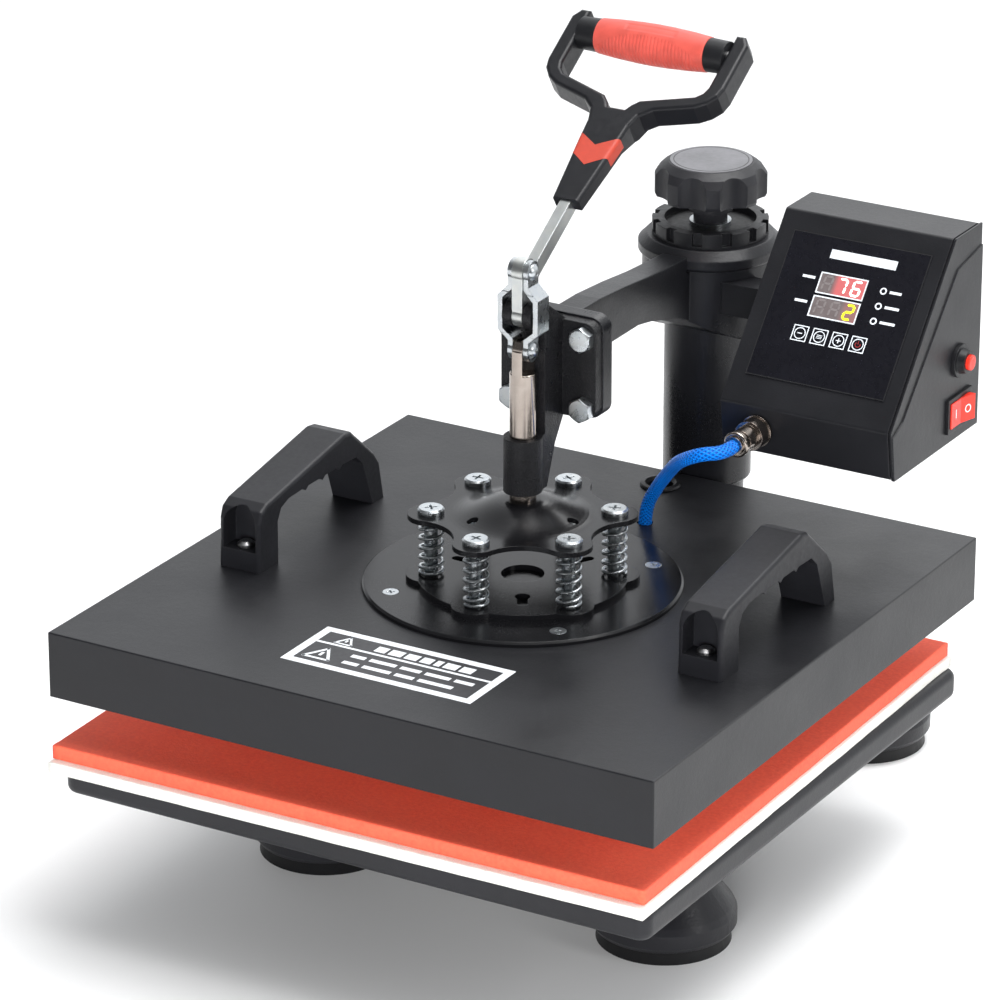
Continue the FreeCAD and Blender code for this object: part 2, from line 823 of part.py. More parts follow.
def handle_yoke():
    """The moulded D-handle frame: a tapering stem that forks into two arms with elbows."""
    half_outline = [
        (8.5, STEM_START),
        (12.5, 100.0),
        (13.5, 113.0),
        (16.0, 121.5),
        (22.5, 127.0),
        (45.5, 134.0),
        (52.0, 138.5),
        (56.5, 144.5),
        (58.0, 151.0),
        (58.0, 184.0),
        (54.0, 190.0),
        (ARM_INNER, 190.0),
        (ARM_INNER, 150.0),
        (46.5, 145.5),
        (43.0, 142.0),
        (11.5, 132.3),
        (7.5, 128.0),
        (5.5, 124.5),
    ]
    mirrored = [(-x, t) for x, t in reversed(half_outline)]
    body, sketch = outline_body("XZ_Plane", half_outline + mirrored)
    pad = body.newObject("PartDesign::Pad", "Pad")
    pad.Profile = sketch
    bind(pad, "Length", YOKE_DEPTH)
    pad.Reversed = True
    bind(sketch, "AttachmentOffset.Base.z", -YOKE_FRONT)
    doc.recompute()
    stem_taper = prism("YZ_Plane", [
        (30, 0), (30, 116), (YOKE_FRONT + YOKE_DEPTH, 116), (11.8, 100), (10.2, STEM_START - 1), (10.2, 0),
    ], 40, -20)
    slot = block((-D.lever_thick / 2 - D.gap, D.shank_front - D.gap, 0),
                 (D.lever_thick / 2 + D.gap, D.shank_front + D.shank_width + D.gap, SHANK_LENGTH + D.gap))
    core_hole = rod((-ARM_INNER - 5, GRIP_SETBACK, GRIP_HEIGHT), 4 + D.gap, ARM_INNER * 2 + 10, "X")
    solid = round_edges(cut(group(body), group(stem_taper)), 2.2, yoke_edge)
    return leaned(cut(solid, slot, core_hole))


def yoke_edge(edge):
    """Pick the outline edges on the yoke's front and back faces, apart from the tapered stem's."""
    ends = [vertex.Point for vertex in edge.Vertexes]
    flat_front = all(abs(p.y - YOKE_FRONT) < 0.01 for p in ends)
    flat_back = all(abs(p.y - YOKE_FRONT - YOKE_DEPTH) < 0.01 for p in ends)
    high = all(p.z > 117 for p in ends)
    return (flat_front and min(p.z for p in ends) > STEM_START - 1 and ends[0].sub(ends[-1]).Length > 2
            and max(p.z for p in ends) > STEM_START + 1) or (flat_back and high)


def grip_core():
    """The steel rod that runs through the grip from arm to arm."""
    half = ARM_INNER + 4
    return leaned(rod((-half, GRIP_SETBACK, GRIP_HEIGHT), 4, half * 2, "X"))


def grip_profile():
    """The grip's half section, barrel shaped between two plain sleeves."""
    return [(-36, 10.4), (-24, 11.4), (-10, 12.1), (0, 12.3), (10, 12.1), (24, 11.4), (36, 10.4)]


def turned_on_x(profile, bore):
    """A turned part on the grip's axis from (x, radius) corners."""
    first, last = profile[0][0], profile[-1][0]
    corners = [(radius, x) for x, radius in profile] + [(bore, last), (bore, first)]
    body = turned(corners)
    return leaned(put(group(body), (0, GRIP_SETBACK, GRIP_HEIGHT), AXES["X"]))


def handle_grip():
    return turned_on_x(grip_profile(), 4 + D.gap)


def grip_sleeves():
    """Two plain black sleeves between the grip and the arms."""
    end = ARM_INNER - D.gap
    right = turned_on_x([(36.0 + D.gap, 10.0), (end, 9.6)], 4 + D.gap)
    left = turned_on_x([(-end, 9.6), (-36.0 - D.gap, 10.0)], 4 + D.gap)
    return group(left, right)


node("lever_bar", lever_bar())
node("handle_yoke", handle_yoke())
node("grip_core", grip_core())
node("handle_grip", handle_grip())
node("grip_sleeves", grip_sleeves())


# --------------------------------------------------------------------------------------------------
# Toggle links: two joggled plates, mirror images, joined by rivets
# --------------------------------------------------------------------------------------------------
LOWER_PIN_Z = UPPER_PIN_Z - D.link_length
LINK_INNER = D.lever_thick / 2 + 0.25


def link_side(sign):
    """One plate, narrow at both eyes and spread round the lugs in between."""
    inner = LINK_INNER
    outer = inner + D.link_thick
    wide = D.link_spread
    wide_outer = wide + D.link_thick
    bends = [
        (inner, LOWER_PIN_Z - 7), (inner, LOWER_PIN_Z + 7.5), (wide, LOWER_PIN_Z + 13),
        (wide, UPPER_PIN_Z - 16), (inner, UPPER_PIN_Z - 9.5), (inner, UPPER_PIN_Z + 7),
        (outer, UPPER_PIN_Z + 7), (outer, UPPER_PIN_Z - 8), (wide_outer, UPPER_PIN_Z - 14.8),
        (wide_outer, LOWER_PIN_Z + 11.8), (outer, LOWER_PIN_Z + 6), (outer, LOWER_PIN_Z - 7),
    ]
    strip = prism("XZ_Plane", [(sign * x, z) for x, z in bends], 13.0, -6.5)
    length = D.link_length
    face = fuse(
        block((-20, -5.9, LOWER_PIN_Z), (20, 5.9, UPPER_PIN_Z)),
        rod((-20, 0, LOWER_PIN_Z), 6.6, 40, "X"),
        rod((-20, 0, UPPER_PIN_Z), 6.6, 40, "X"),
        block((-20, -6.4, LOWER_PIN_Z + 10), (20, 6.4, LOWER_PIN_Z + length - 12)),
    )
    holes = [rod((-20, 0, z), D.pin_radius, 40, "X") for z in (LOWER_PIN_Z, UPPER_PIN_Z)]
    return cut(common(group(strip), face), *holes)


def toggle_links():
    return group(link_side(-1), link_side(1))


def rivet_head(outer, z, sign):
    """A shallow domed head on the outside of a link."""
    head = doc.addObject("Part::Sphere", "Head")
    bind(head, "Radius", 6.0)
    put(head, ((outer - 3.4) * sign, 0, z))
    face = outer * sign
    clip_low = (face, -8, z - 8) if sign > 0 else (face - 4, -8, z - 8)
    clip_high = (face + 4, 8, z + 8) if sign > 0 else (face, 8, z + 8)
    return common(head, block(clip_low, clip_high))


def link_rivets():
    """The upper rivet goes through the lever. The lower one has only its two ends, held in the links."""
    outer = LINK_INNER + D.link_thick
    radius = D.pin_radius - D.gap
    upper = fuse(rod((-outer, 0, UPPER_PIN_Z), radius, outer * 2, "X"),
                 rivet_head(outer, UPPER_PIN_Z, 1), rivet_head(outer, UPPER_PIN_Z, -1))
    right = fuse(rod((LINK_INNER, 0, LOWER_PIN_Z), radius, D.link_thick, "X"),
                 rivet_head(outer, LOWER_PIN_Z, 1))
    left = fuse(rod((-outer, 0, LOWER_PIN_Z), radius, D.link_thick, "X"),
                rivet_head(outer, LOWER_PIN_Z, -1))
    return group(upper, right, left)


node("toggle_links", toggle_links())
node("link_rivets", link_rivets())


# --------------------------------------------------------------------------------------------------
# Plunger and star plate
# --------------------------------------------------------------------------------------------------
def plunger_rod():
    """The polished rod, flattened to a tongue between the links, with a collar on the star plate."""
    tongue_half = D.lever_thick / 2
    tongue_top = LOWER_PIN_Z
    shaft = rod((0, 0, D.dome_top), D.plunger_radius, D.plunger_shoulder - D.dome_top)
    tongue = common(
        rod((0, 0, D.plunger_shoulder - 3), D.plunger_radius, tongue_top + 10 - D.plunger_shoulder),
        fuse(block((-tongue_half, -8, D.plunger_shoulder - 3), (tongue_half, 8, tongue_top)),
             rod((-tongue_half, 0, tongue_top), 6.4, tongue_half * 2, "X")))
    shoulder = round_edges(fuse(shaft, tongue), 1.0, plunger_shoulder_edge)
    spigot = rod((0, 0, D.dome_top - 12), 5, 13)
    return fuse(shoulder, spigot)


def plunger_shoulder_edge(edge):
    """Pick the curved outer edges of the shoulder."""
    point = middle(edge)
    on_shoulder = abs(point.z - float(D.plunger_shoulder)) < 0.1
    return on_shoulder and math.hypot(point.x, point.y) > float(D.plunger_radius) - 0.1


def dome_corners(base_height):
    """The pressed dome's surface as a cosine bell, from the rod's spigot out to the flat rim."""
    rise = D.dome_top - (D.star_bottom + D.star_thick)
    corners = [(5 + D.gap, base_height + rise)]
    for i in range(1, DOME_STEPS + 1):
        share = i / DOME_STEPS
        bell = (1 + math.cos(math.pi * share)) / 2
        radius = DOME_START + (DOME_RADIUS - DOME_START) * share
        corners.append((radius, base_height + rise * round(bell, 4)))
    return corners


def star_plate():
    """The pressed plate: a smooth dome in the middle, and six lobes that flow into shallow scallops."""
    top = D.star_bottom + D.star_thick
    rim = DOME_RADIUS + 6
    dome = turned(dome_corners(top) + [(rim, top), (rim, D.star_bottom)]
                  + list(reversed(dome_corners(D.star_bottom))))
    ring = cut(rod((0, 0, D.star_bottom), 57.5, D.star_thick),
               rod((0, 0, D.star_bottom - 1), DOME_RADIUS + 3, 10))
    lobes = [rod((x, y, D.star_bottom), STAR_LOBE, D.star_thick) for x, y in SPRING_PLACES]
    scallops = [rod((x, y, D.star_bottom - 1), 26, 10) for x, y in ring_of(6, as_size(75), 0)]
    holes = [rod((x, y, D.star_bottom - 1), SPACER_RADIUS + 0.4, 10) for x, y in SPRING_PLACES]
    vents = [rod((x, y, D.star_bottom - 10), 3.4, 30) for x, y in ring_of(3, as_size(33), 0)]
    return cut(fuse(group(dome), ring, *lobes), *scallops, *holes, *vents)


DOME_START = 8.0
DOME_RADIUS = 43.0
DOME_STEPS = 14
STAR_LOBE = 13.5
SPACER_RADIUS = as_size(4.0)
SPRING_PLACES = ring_of(6, D.spring_circle, 30)

node("plunger_rod", plunger_rod())
node("star_plate", star_plate())

# --------------------------------------------------------------------------------------------------
# Upper platen
# --------------------------------------------------------------------------------------------------
HOUSING_TOP = D.housing_bottom + D.housing_height
DISC_TOP = HOUSING_TOP + D.disc_thick
PLATE_TOP = DISC_TOP + D.spring_plate_thick
DISC_SCREWS = ring_of(4, D.disc_screw_circle, 45)
LEAD_HOLE = (16.5, 115.0)
HANDLE_SHIFT_Y = 2.0
HANDLE_SCREW_YS = (-60.0, 61.5)
HANDLE_SCREWS = [(side * D.handle_x, y + HANDLE_SHIFT_Y) for side in (-1, 1) for y in HANDLE_SCREW_YS]


def upper_housing():
    """The folded sheet cover, open below, with its wire hole and lead hole."""
    half = D.housing_side / 2
    inner = half - D.sheet_metal
    shift = D.housing_shift_y
    outside = block((-half, shift - half, D.housing_bottom), (half, shift + half, HOUSING_TOP))
    shell = round_edges(outside, 0.8, lambda edge: middle(edge).z > float(D.housing_bottom) + 1)
    hollow = block((-inner, shift - inner, D.housing_bottom - 1),
                   (inner, shift + inner, HOUSING_TOP - D.sheet_metal))
    wire_hole = rod((D.grommet_x, D.grommet_y, HOUSING_TOP - 5), D.grommet_radius - 3, 10)
    lead_hole = rod((*LEAD_HOLE, HOUSING_TOP - 5), D.lead_radius + 0.8, 10)
    screws = [rod((x, y, HOUSING_TOP - 5), 2.2, 10) for x, y in DISC_SCREWS]
    handles = [rod((x, y, HOUSING_TOP - 5), 3.0, 10) for x, y in HANDLE_SCREWS]
    return cut(shell, hollow, wire_hole, lead_hole, *screws, *handles)


def heat_plate():
    """The cast aluminium plate that does the pressing."""
    half = D.heat_side / 2
    low = D.housing_bottom - 0.5
    shift = D.housing_shift_y
    plate = block((-half, shift - half, low), (half, shift + half, low + D.heat_thick))
    return round_edges(plate, 1.0, lambda edge: middle(edge).z < float(low) + 0.1)


def insulation():
    """The fibre blanket between the heat plate and the cover."""
    half = D.heat_side / 2 - 4
    low = D.housing_bottom + D.heat_thick
    shift = D.housing_shift_y
    return block((-half, shift - half, low), (half, shift + half, HOUSING_TOP - D.sheet_metal - 8))


def adapter_disc():
    """The round steel disc on the cover, with a bevelled rim."""
    disc = turned([(0, 0), (D.disc_radius, 0), (D.disc_radius, D.disc_thick - 1.2),
                   (D.disc_radius - 1.2, D.disc_thick), (0, D.disc_thick)])
    sinks = [cone((x, y, D.disc_thick - 2.6), 2.4, 5.1, 2.7) for x, y in DISC_SCREWS]
    holes = [rod((x, y, -1), 2.2, 10) for x, y in DISC_SCREWS]
    taps = [rod((x, y, -1), 3.0, 10) for x, y in SPRING_PLACES]
    return copy_of(cut(group(disc), *sinks, *holes, *taps), (0, 0, HOUSING_TOP))


def disc_screws():
    """Four countersunk screws with crossed slots."""
    profile = turned([(0, -8), (2.1, -8), (2.1, D.disc_thick - 2.62), (4.8, D.disc_thick - 0.02),
                      (0, D.disc_thick - 0.02)])
    slots = [block((-2.4, -0.5, D.disc_thick - 1.4), (2.4, 0.5, 10)),
             block((-0.5, -2.4, D.disc_thick - 1.4), (0.5, 2.4, 10))]
    screw = cut(group(profile), *slots)
    return group(*[copy_of(screw, (x, y, HOUSING_TOP), 45) for x, y in DISC_SCREWS])


def spring_plate():
    """The lobed plate that the springs stand on, with a middle hole and keyhole slots."""
    middle_disc = rod((0, 0, 0), D.spring_plate_radius, D.spring_plate_thick)
    lobes = [rod((x, y, 0), D.lobe_radius, D.spring_plate_thick)
             for x, y in ring_of(6, D.spring_circle + 0.7, 30)]
    centre = rod((0, 0, -1), 12.5, 10)
    taps = [rod((x, y, -1), 3.0, 10) for x, y in SPRING_PLACES]
    slots = []
    for i in range(3):
        slot = fuse(rod((34, 0, -1), 4.5, 10), rod((44, 0, -1), 3.0, 10), block((34, -3, -1), (44, 3, 9)))
        slots.append(copy_of(group(slot), (0, 0, 0), 120 * i + 60))
    return copy_of(cut(fuse(middle_disc, *lobes), centre, *taps, *slots), (0, 0, DISC_TOP))


def shoulder_screws():
    """Six shoulder screws: pan head, smooth spacer through the star plate, thread in the spring plate."""
    head_bottom = D.star_bottom + D.star_thick
    head_top = head_bottom + D.screw_head
    profile = turned([
        (0, HOUSING_TOP + 0.2),
        (2.9, HOUSING_TOP + 0.2),
        (2.9, PLATE_TOP),
        (SPACER_RADIUS, PLATE_TOP),
        (SPACER_RADIUS, head_bottom),
        (D.screw_head_radius, head_bottom),
        (D.screw_head_radius, head_top - 1),
        (D.screw_head_radius - 1, head_top),
        (0, head_top),
    ])
    slots = [block((-3.6, -0.7, head_top - 1.8), (3.6, 0.7, head_top + 5)),
             block((-0.7, -3.6, head_top - 1.8), (0.7, 3.6, head_top + 5))]
    screw = cut(group(profile), *slots)
    return group(*[copy_of(screw, (x, y, 0), 20 + 37 * i) for i, (x, y) in enumerate(SPRING_PLACES)])


def springs():
    """Six open-coiled compression springs between the spring plate and the star plate."""
    length = D.star_bottom - PLATE_TOP
    wire = float(D.spring_wire)
    travel = float(length) - 2 * wire - 0.2
    helix = Part.makeHelix(travel / 5.5, travel, float(D.spring_radius))
    section = Part.Wire(Part.makeCircle(wire, V(float(D.spring_radius), 0, 0), V(0, 1, 0)))
    coil = Part.Wire(helix.Edges).makePipeShell([section], True, True)
    spring = free_shape(coil)
    base = PLATE_TOP + D.spring_wire + 0.1
    return group(*[copy_of(spring, (x, y, base), 60 * i) for i, (x, y) in enumerate(SPRING_PLACES)])


HANDLE_OUTSIDE = [
    (-68, 0), (-67, 30), (-64.5, 36.5), (-58, 40), (27, 54.5), (34, 53.5), (59, 32), (65, 24), (70, 0),
]
HANDLE_INSIDE = [(56, 0), (49, 20), (45, 30), (38, 36)]
HANDLE_INSIDE_FRONT = [(-36, 36), (-44, 33), (-48, 26), (-48, 0)]
SCALLOPS = 4


def side_handle(side):
    """A moulded pull handle with finger scallops and a screw pocket in each foot."""
    half = D.handle_width / 2
    pitch = (HANDLE_INSIDE[-1][0] - HANDLE_INSIDE_FRONT[0][0]) / SCALLOPS
    grip_line = []
    for i in range(1, SCALLOPS):
        ridge = HANDLE_INSIDE[-1][0] - pitch * i
        grip_line += [(ridge + 3, 36.6), (ridge, 34.6), (ridge - 3, 36.6)]
    outline = HANDLE_OUTSIDE + HANDLE_INSIDE + grip_line + HANDLE_INSIDE_FRONT
    arch = prism("YZ_Plane", outline, D.handle_width, -half)
    soft = round_edges(group(arch), 2.5, handle_edge(float(half)))
    pocket_half = half - 3
    front_pocket = fuse(block((-pocket_half, -80, 12), (pocket_half, -54, 27)),
                        rod((0, -80, 27), pocket_half, 26, "Y"))
    rear_pocket = block((-pocket_half, 55.5, 12), (pocket_half, 80, 26))
    holes = [rod((0, y, -1), 3, 20) for y in HANDLE_SCREW_YS]
    handle = cut(soft, front_pocket, rear_pocket, *holes)
    return copy_of(handle, (side * D.handle_x, HANDLE_SHIFT_Y, HOUSING_TOP))


def handle_edge(half):
    """Pick the outer outline's edges on both side faces of a pull handle."""
    outer = {(round(y, 1), round(z, 1)) for y, z in HANDLE_OUTSIDE}

    def chosen(edge):
        ends = [vertex.Point for vertex in edge.Vertexes]
        on_side = all(abs(abs(p.x) - half) < 0.01 for p in ends)
        on_outline = all((round(p.y, 1), round(p.z, 1)) in outer for p in ends)
        return on_side and on_outline and middle(edge).z > 0.5

    return chosen


def handle_screws():
    """Four screws, one in each foot's pocket."""
    screw = turned([(0, -6), (2.9, -6), (2.9, 12.2), (5.2, 12.2), (5.2, 14), (3.4, 15.6), (0, 15.6)])
    return group(*[copy_of(screw, (x, y, HOUSING_TOP)) for x, y in HANDLE_SCREWS])


def wire_grommet():
    """The lipped ring round the wire hole."""
    outer = D.grommet_radius
    return turned([
        (outer - 5, -3), (outer - 3.1, -3), (outer - 3.1, 0), (outer - 0.6, 0), (outer, 0.6),
        (outer - 0.8, 1.8), (outer - 3, 2.2), (outer - 5, 0.6),
    ], (D.grommet_x, D.grommet_y, HOUSING_TOP))


node("upper_housing", upper_housing())
node("heat_plate", heat_plate())
node("insulation", insulation())
node("adapter_disc", adapter_disc())
node("disc_screws", disc_screws())
node("spring_plate", spring_plate())
node("shoulder_screws", shoulder_screws())
node("springs", springs())
node("side_handle_left", side_handle(-1))
node("side_handle_right", side_handle(1))
node("handle_screws", handle_screws())
node("wire_grommet", wire_grommet())

# --------------------------------------------------------------------------------------------------
# Control box
# --------------------------------------------------------------------------------------------------
BOX_PROFILE = [
    (D.box_chin_y, D.box_chin_z),
    (D.box_back, D.box_chin_z),
    (D.box_back, D.box_top),
    (D.box_brow_y, D.box_top),
    (D.box_nose_y, D.box_nose_z),
]
SLOPE_RISE = float(D.box_top - D.box_nose_z)
SLOPE_RUN = float(D.box_brow_y - D.box_nose_y)
SLOPE_ANGLE = math.degrees(math.atan2(SLOPE_RISE, SLOPE_RUN))
ON_SLOPE = FreeCAD.Rotation(V(1, 0, 0), SLOPE_ANGLE)


def inset_profile(wall):
    """The box's profile, moved inwards by the wall."""
    return [
        (D.box_chin_y + wall, D.box_chin_z + wall),
        (D.box_back - wall, D.box_chin_z + wall),
        (D.box_back - wall, D.box_top - wall),
        (D.box_brow_y + wall * 0.5, D.box_top - wall),
        (D.box_nose_y + wall, D.box_nose_z - wall * 0.45),
    ]


def on_slope(thing):
    """Move a piece made flat at the origin onto the sloped face, from its lower left corner."""
    return put(group(thing), (D.box_left, D.box_nose_y, D.box_nose_z), ON_SLOPE)


def control_shell():
    """The folded shell: left side, sloped face, top, back and bottom. The right side is open."""
    outside = prism("YZ_Plane", BOX_PROFILE, D.box_right - D.box_left, D.box_left)
    inside = prism("YZ_Plane", inset_profile(D.box_wall), D.box_right - D.box_left, D.box_left + D.box_wall)
    bends = round_edges(group(outside), 2.5, shell_bend)
    socket_hole = rod((SOCKET_X, D.box_nose_y - 5, SOCKET_Z), 7.1, 15, "Y")
    inlet_hole = block((115, D.box_back - 8, 272), (143, D.box_back + 5, 292))
    key_holes = [on_slope(rod((x, KEY_ROW, -8), 2.5, 12)) for x in KEY_XS]
    return cut(bends, group(inside), socket_hole, inlet_hole, *key_holes)


def shell_bend(edge):
    """Pick the shell's bends, which run across the box."""
    ends = [vertex.Point for vertex in edge.Vertexes]
    return abs(ends[0].x - ends[-1].x) > 50


def side_cover():
    """The right side cover: a groove against the shell, a raised field, and the switches' holes."""
    spacer = prism("YZ_Plane", inset_profile(1.2), D.cover_groove, D.box_right)
    thickness = D.box_cover - D.cover_groove - D.cover_rim
    plate = prism("YZ_Plane", BOX_PROFILE, thickness, D.box_right + D.cover_groove)
    raised = prism("YZ_Plane", [
        (D.box_chin_y, D.box_chin_z),
        (D.box_back, D.box_chin_z),
        (D.box_back, D.box_top - 13),
        (D.box_brow_y + 2, D.box_top - 19),
        (D.box_nose_y + 13.5, D.box_nose_z + 3),
        (D.box_nose_y + 1, D.box_nose_z - 3),
    ], D.cover_rim, D.box_right + D.box_cover - D.cover_rim)
    button_hole = rod((D.box_right - 1, D.switch_y, D.button_z), 6.1, 10, "X")
    rocker_hole = block((D.box_right - 1, D.switch_y - 13.1, D.rocker_z - 8.6),
                        (D.box_right + 10, D.switch_y + 13.1, D.rocker_z + 8.6))
    return cut(fuse(group(spacer), group(plate), group(raised)), button_hole, rocker_hole)


KEY_ROW = 47.5
KEY_FIRST = 34.7
KEY_XS = [KEY_FIRST + DIMENSIONS["key_pitch"] * i for i in range(4)]
KEY_NAMES = ("key_minus", "key_mode", "key_plus", "key_power")
OVERLAY_THICK = 0.8


def panel_overlay():
    """The membrane panel on the slope, with two raised display windows and an opening for each key."""
    film = block((10, 18, 0), (98, 108, OVERLAY_THICK))
    displays = [block((35.5, low, 0.2), (65.5, low + 13, OVERLAY_THICK + 0.5)) for low in (58.5, 73)]
    half = D.key_side / 2 + 0.15
    openings = [block((x - half, KEY_ROW - half, -1), (x + half, KEY_ROW + half, 3)) for x in KEY_XS]
    return on_slope(cut(fuse(film, *displays), *openings))


def panel_key(x):
    """One key: a thin square cap on a short stem."""
    half = D.key_side / 2
    cap = block((x - half, KEY_ROW - half, 0.5), (x + half, KEY_ROW + half, 1.1))
    stem = rod((x, KEY_ROW, -4), 2.0, 4.8)
    return on_slope(fuse(cap, stem))


def circuit_board():
    """The board behind the panel, with its four key switches."""
    board = block((8, 14, -11), (100, 104, -9.4))
    switches = [block((x - 3, KEY_ROW - 3, -9.4), (x + 3, KEY_ROW + 3, -5.2)) for x in KEY_XS]
    return on_slope(fuse(board, *switches))


def mains_inlet():
    """The inlet socket in the box's back, for a lead that isn't part of the model."""
    body = block((115.2, D.box_back - 16, 272.2), (142.8, D.box_back + 1, 291.8))
    rim = block((112, D.box_back, 269), (146, D.box_back + 3, 295))
    well = block((118, D.box_back - 13, 275), (140, D.box_back + 5, 289))
    blades = [block((x - 1, D.box_back - 13.5, 279), (x + 1, D.box_back - 7, 284)) for x in (123, 129, 135)]
    return fuse(cut(fuse(body, rim), well), *blades)


def box_bracket():
    """The bent steel arm that carries the control box on the hub."""
    bar = block((20, D.post_y - 32, 290), (D.box_left, D.post_y - 14, 310))
    plate = block((D.box_left - 6, 132, 282), (D.box_left - D.gap, D.post_y - 14, 318))
    clear = rod((0, D.post_y, 280), D.hub_radius + D.gap, 50)
    return cut(fuse(bar, plate), clear)


SOCKET_X = 112.0
SOCKET_Z = 273.0
PLUG_FRONT = 44.0
CONNECTOR_FACE = 75.0


def lead_socket():
    """The panel socket: flange nut outside, threaded body through the wall."""
    body = rod((SOCKET_X, 66, SOCKET_Z), 7.0, 26, "Y")
    flange = rod((SOCKET_X, CONNECTOR_FACE - 4, SOCKET_Z), 9.4, 2.0, "Y")
    mouth = rod((SOCKET_X, 60, SOCKET_Z), 5.6, 22, "Y")
    return cut(fuse(body, flange), mouth)


def lead_plug():
    """The round plug: knurled coupling ring, barrel and cable clamp."""
    core = rod((SOCKET_X, 58, SOCKET_Z), 5.5, 22, "Y")
    ring_outer = rod((SOCKET_X, 62, SOCKET_Z), 8.8, 8.9, "Y")
    ring_inner = rod((SOCKET_X, 65.9, SOCKET_Z), 7.1, 10, "Y")
    barrel = rod((SOCKET_X, 52, SOCKET_Z), 6.9, 11, "Y")
    neck = rod((SOCKET_X, 49, SOCKET_Z), 5.6, 4, "Y")
    clamp = round_edges(rod((SOCKET_X, 46, SOCKET_Z), 7.6, 4.4, "Y"), 1.2, lambda edge: True)
    tail = rod((SOCKET_X, PLUG_FRONT, SOCKET_Z), 5.6, 3, "Y")
    return fuse(cut(ring_outer, ring_inner), core, barrel, neck, clamp, tail)


def button_bezel():
    """The round collar of the reset button."""
    face = D.box_right + D.box_cover
    bore = rod((D.box_right - 20, D.switch_y, D.button_z), 4.6 + D.gap, 60, "X")
    body = fuse(rod((D.box_right - 12, D.switch_y, D.button_z), 6.0, 15, "X"),
                rod((face, D.switch_y, D.button_z), 10.0, 2.2, "X"),
                cone((face + 2.2, D.switch_y, D.button_z), 7.6, 6.6, 4.2, "X"))
    return cut(body, bore)


def reset_button():
    """The red push button, which travels into its collar."""
    face = D.box_right + D.box_cover + 3.8
    cap = rod((face - 6, D.switch_y, D.button_z), 4.6, 11, "X")
    return round_edges(cap, 0.8, lambda edge: middle(edge).x > float(face) + 4)


ROCKER_SPAN = 12.0
ROCKER_HALF = 7.6
ROCKER_TILT = 8


def rocker_bezel():
    """The rectangular frame and body of the rocker switch."""
    face = D.box_right + D.box_cover
    y, z = D.switch_y, D.rocker_z
    frame = block((face, y - 15, z - 10.4), (face + 1.8, y + 15, z + 10.4))
    body = block((D.box_right - 14, y - 13, z - 8.5), (face + 1, y + 13, z + 8.5))
    well = block((D.box_right - 9, y - ROCKER_SPAN - 0.5, z - ROCKER_HALF - 0.2),
                 (face + 10, y + ROCKER_SPAN + 0.5, z + ROCKER_HALF + 0.2))
    return cut(fuse(frame, body), well)


def power_rocker():
    """The red rocker, with its front end pressed in at rest."""
    crown = prism("XY_Plane", [
        (-3.0, -ROCKER_SPAN + 1), (3.8, -ROCKER_SPAN), (2.0, 0),
        (3.8, ROCKER_SPAN), (-3.0, ROCKER_SPAN - 1), (-5.0, 0),
    ], 2 * ROCKER_HALF, -ROCKER_HALF)
    return put(group(crown), (D.box_right + D.box_cover + 0.4, D.switch_y, D.rocker_z),
               FreeCAD.Rotation(V(0, 0, 1), -ROCKER_TILT))


node("control_shell", control_shell())
node("side_cover", side_cover())
node("panel_overlay", panel_overlay())
for key_name, key_x in zip(KEY_NAMES, KEY_XS):
    node(key_name, panel_key(key_x))
node("circuit_board", circuit_board())
node("mains_inlet", mains_inlet())
node("box_bracket", box_bracket())
node("lead_socket", lead_socket())
node("lead_plug", lead_plug())
node("button_bezel", button_bezel())
node("reset_button", reset_button())
node("rocker_bezel", rocker_bezel())
node("power_rocker", power_rocker())

# --------------------------------------------------------------------------------------------------
# Heater lead: from the plug to the lead hole in the cover
# --------------------------------------------------------------------------------------------------
LEAD_ROUTE = [
    (112.0, 43.9, 273.0),
    (112.0, 32.5, 273.0),
    (103.0, 25.0, 273.2),
    (90.5, 30.0, 266.5),
    (77.0, 44.0, 256.5),
    (62.0, 67.0, 243.5),
    (46.0, 88.0, 228.0),
    (30.0, 105.0, 210.5),
    (16.5, 115.0, 191.0),
    (16.5, 115.0, 178.5),
]


def rounded_route(route):
    """The route as straight runs joined by tangent arcs, with each arc as large as its runs allow."""
    points = [V(*p) for p in route]
    edges = []
    last = points[0]
    for before, corner, after in zip(points, points[1:], points[2:]):
        back = before.sub(corner)
        ahead = after.sub(corner)
        reach = 0.45 * min(back.Length, ahead.Length)
        turn = math.pi - back.getAngle(ahead)
        print(f"lead bend: turn {math.degrees(turn):.0f} deg, radius {reach / math.tan(turn / 2):.1f} mm")
        start = corner.add(V(back).normalize().multiply(reach))
        end = corner.add(V(ahead).normalize().multiply(reach))
        bisector = V(back).normalize().add(V(ahead).normalize()).normalize()
        half = turn / 2
        radius = reach / math.tan(half)
        crown = corner.add(bisector.multiply(radius / math.cos(half) - radius))
        edges.append(Part.LineSegment(last, start).toShape())
        edges.append(Part.Arc(start, crown, end).toShape())
        last = end
    edges.append(Part.LineSegment(last, points[-1]).toShape())
    return Part.Wire(edges)


def heater_lead():
    """The sleeved lead, as one round tube along its route."""
    path = rounded_route(LEAD_ROUTE)
    radius = float(D.lead_radius)
    first = V(*LEAD_ROUTE[0])
    heading = V(*LEAD_ROUTE[1]).sub(first)
    section = Part.Wire(Part.makeCircle(radius, first, heading))
    tube = path.makePipeShell([section], True, False)
    expected = math.pi * radius ** 2 * path.Length
    print(f"lead: length {path.Length:.1f} mm, volume {tube.Volume:.0f} of {expected:.0f} mm3")
    return free_shape(tube)


node("heater_lead", heater_lead())

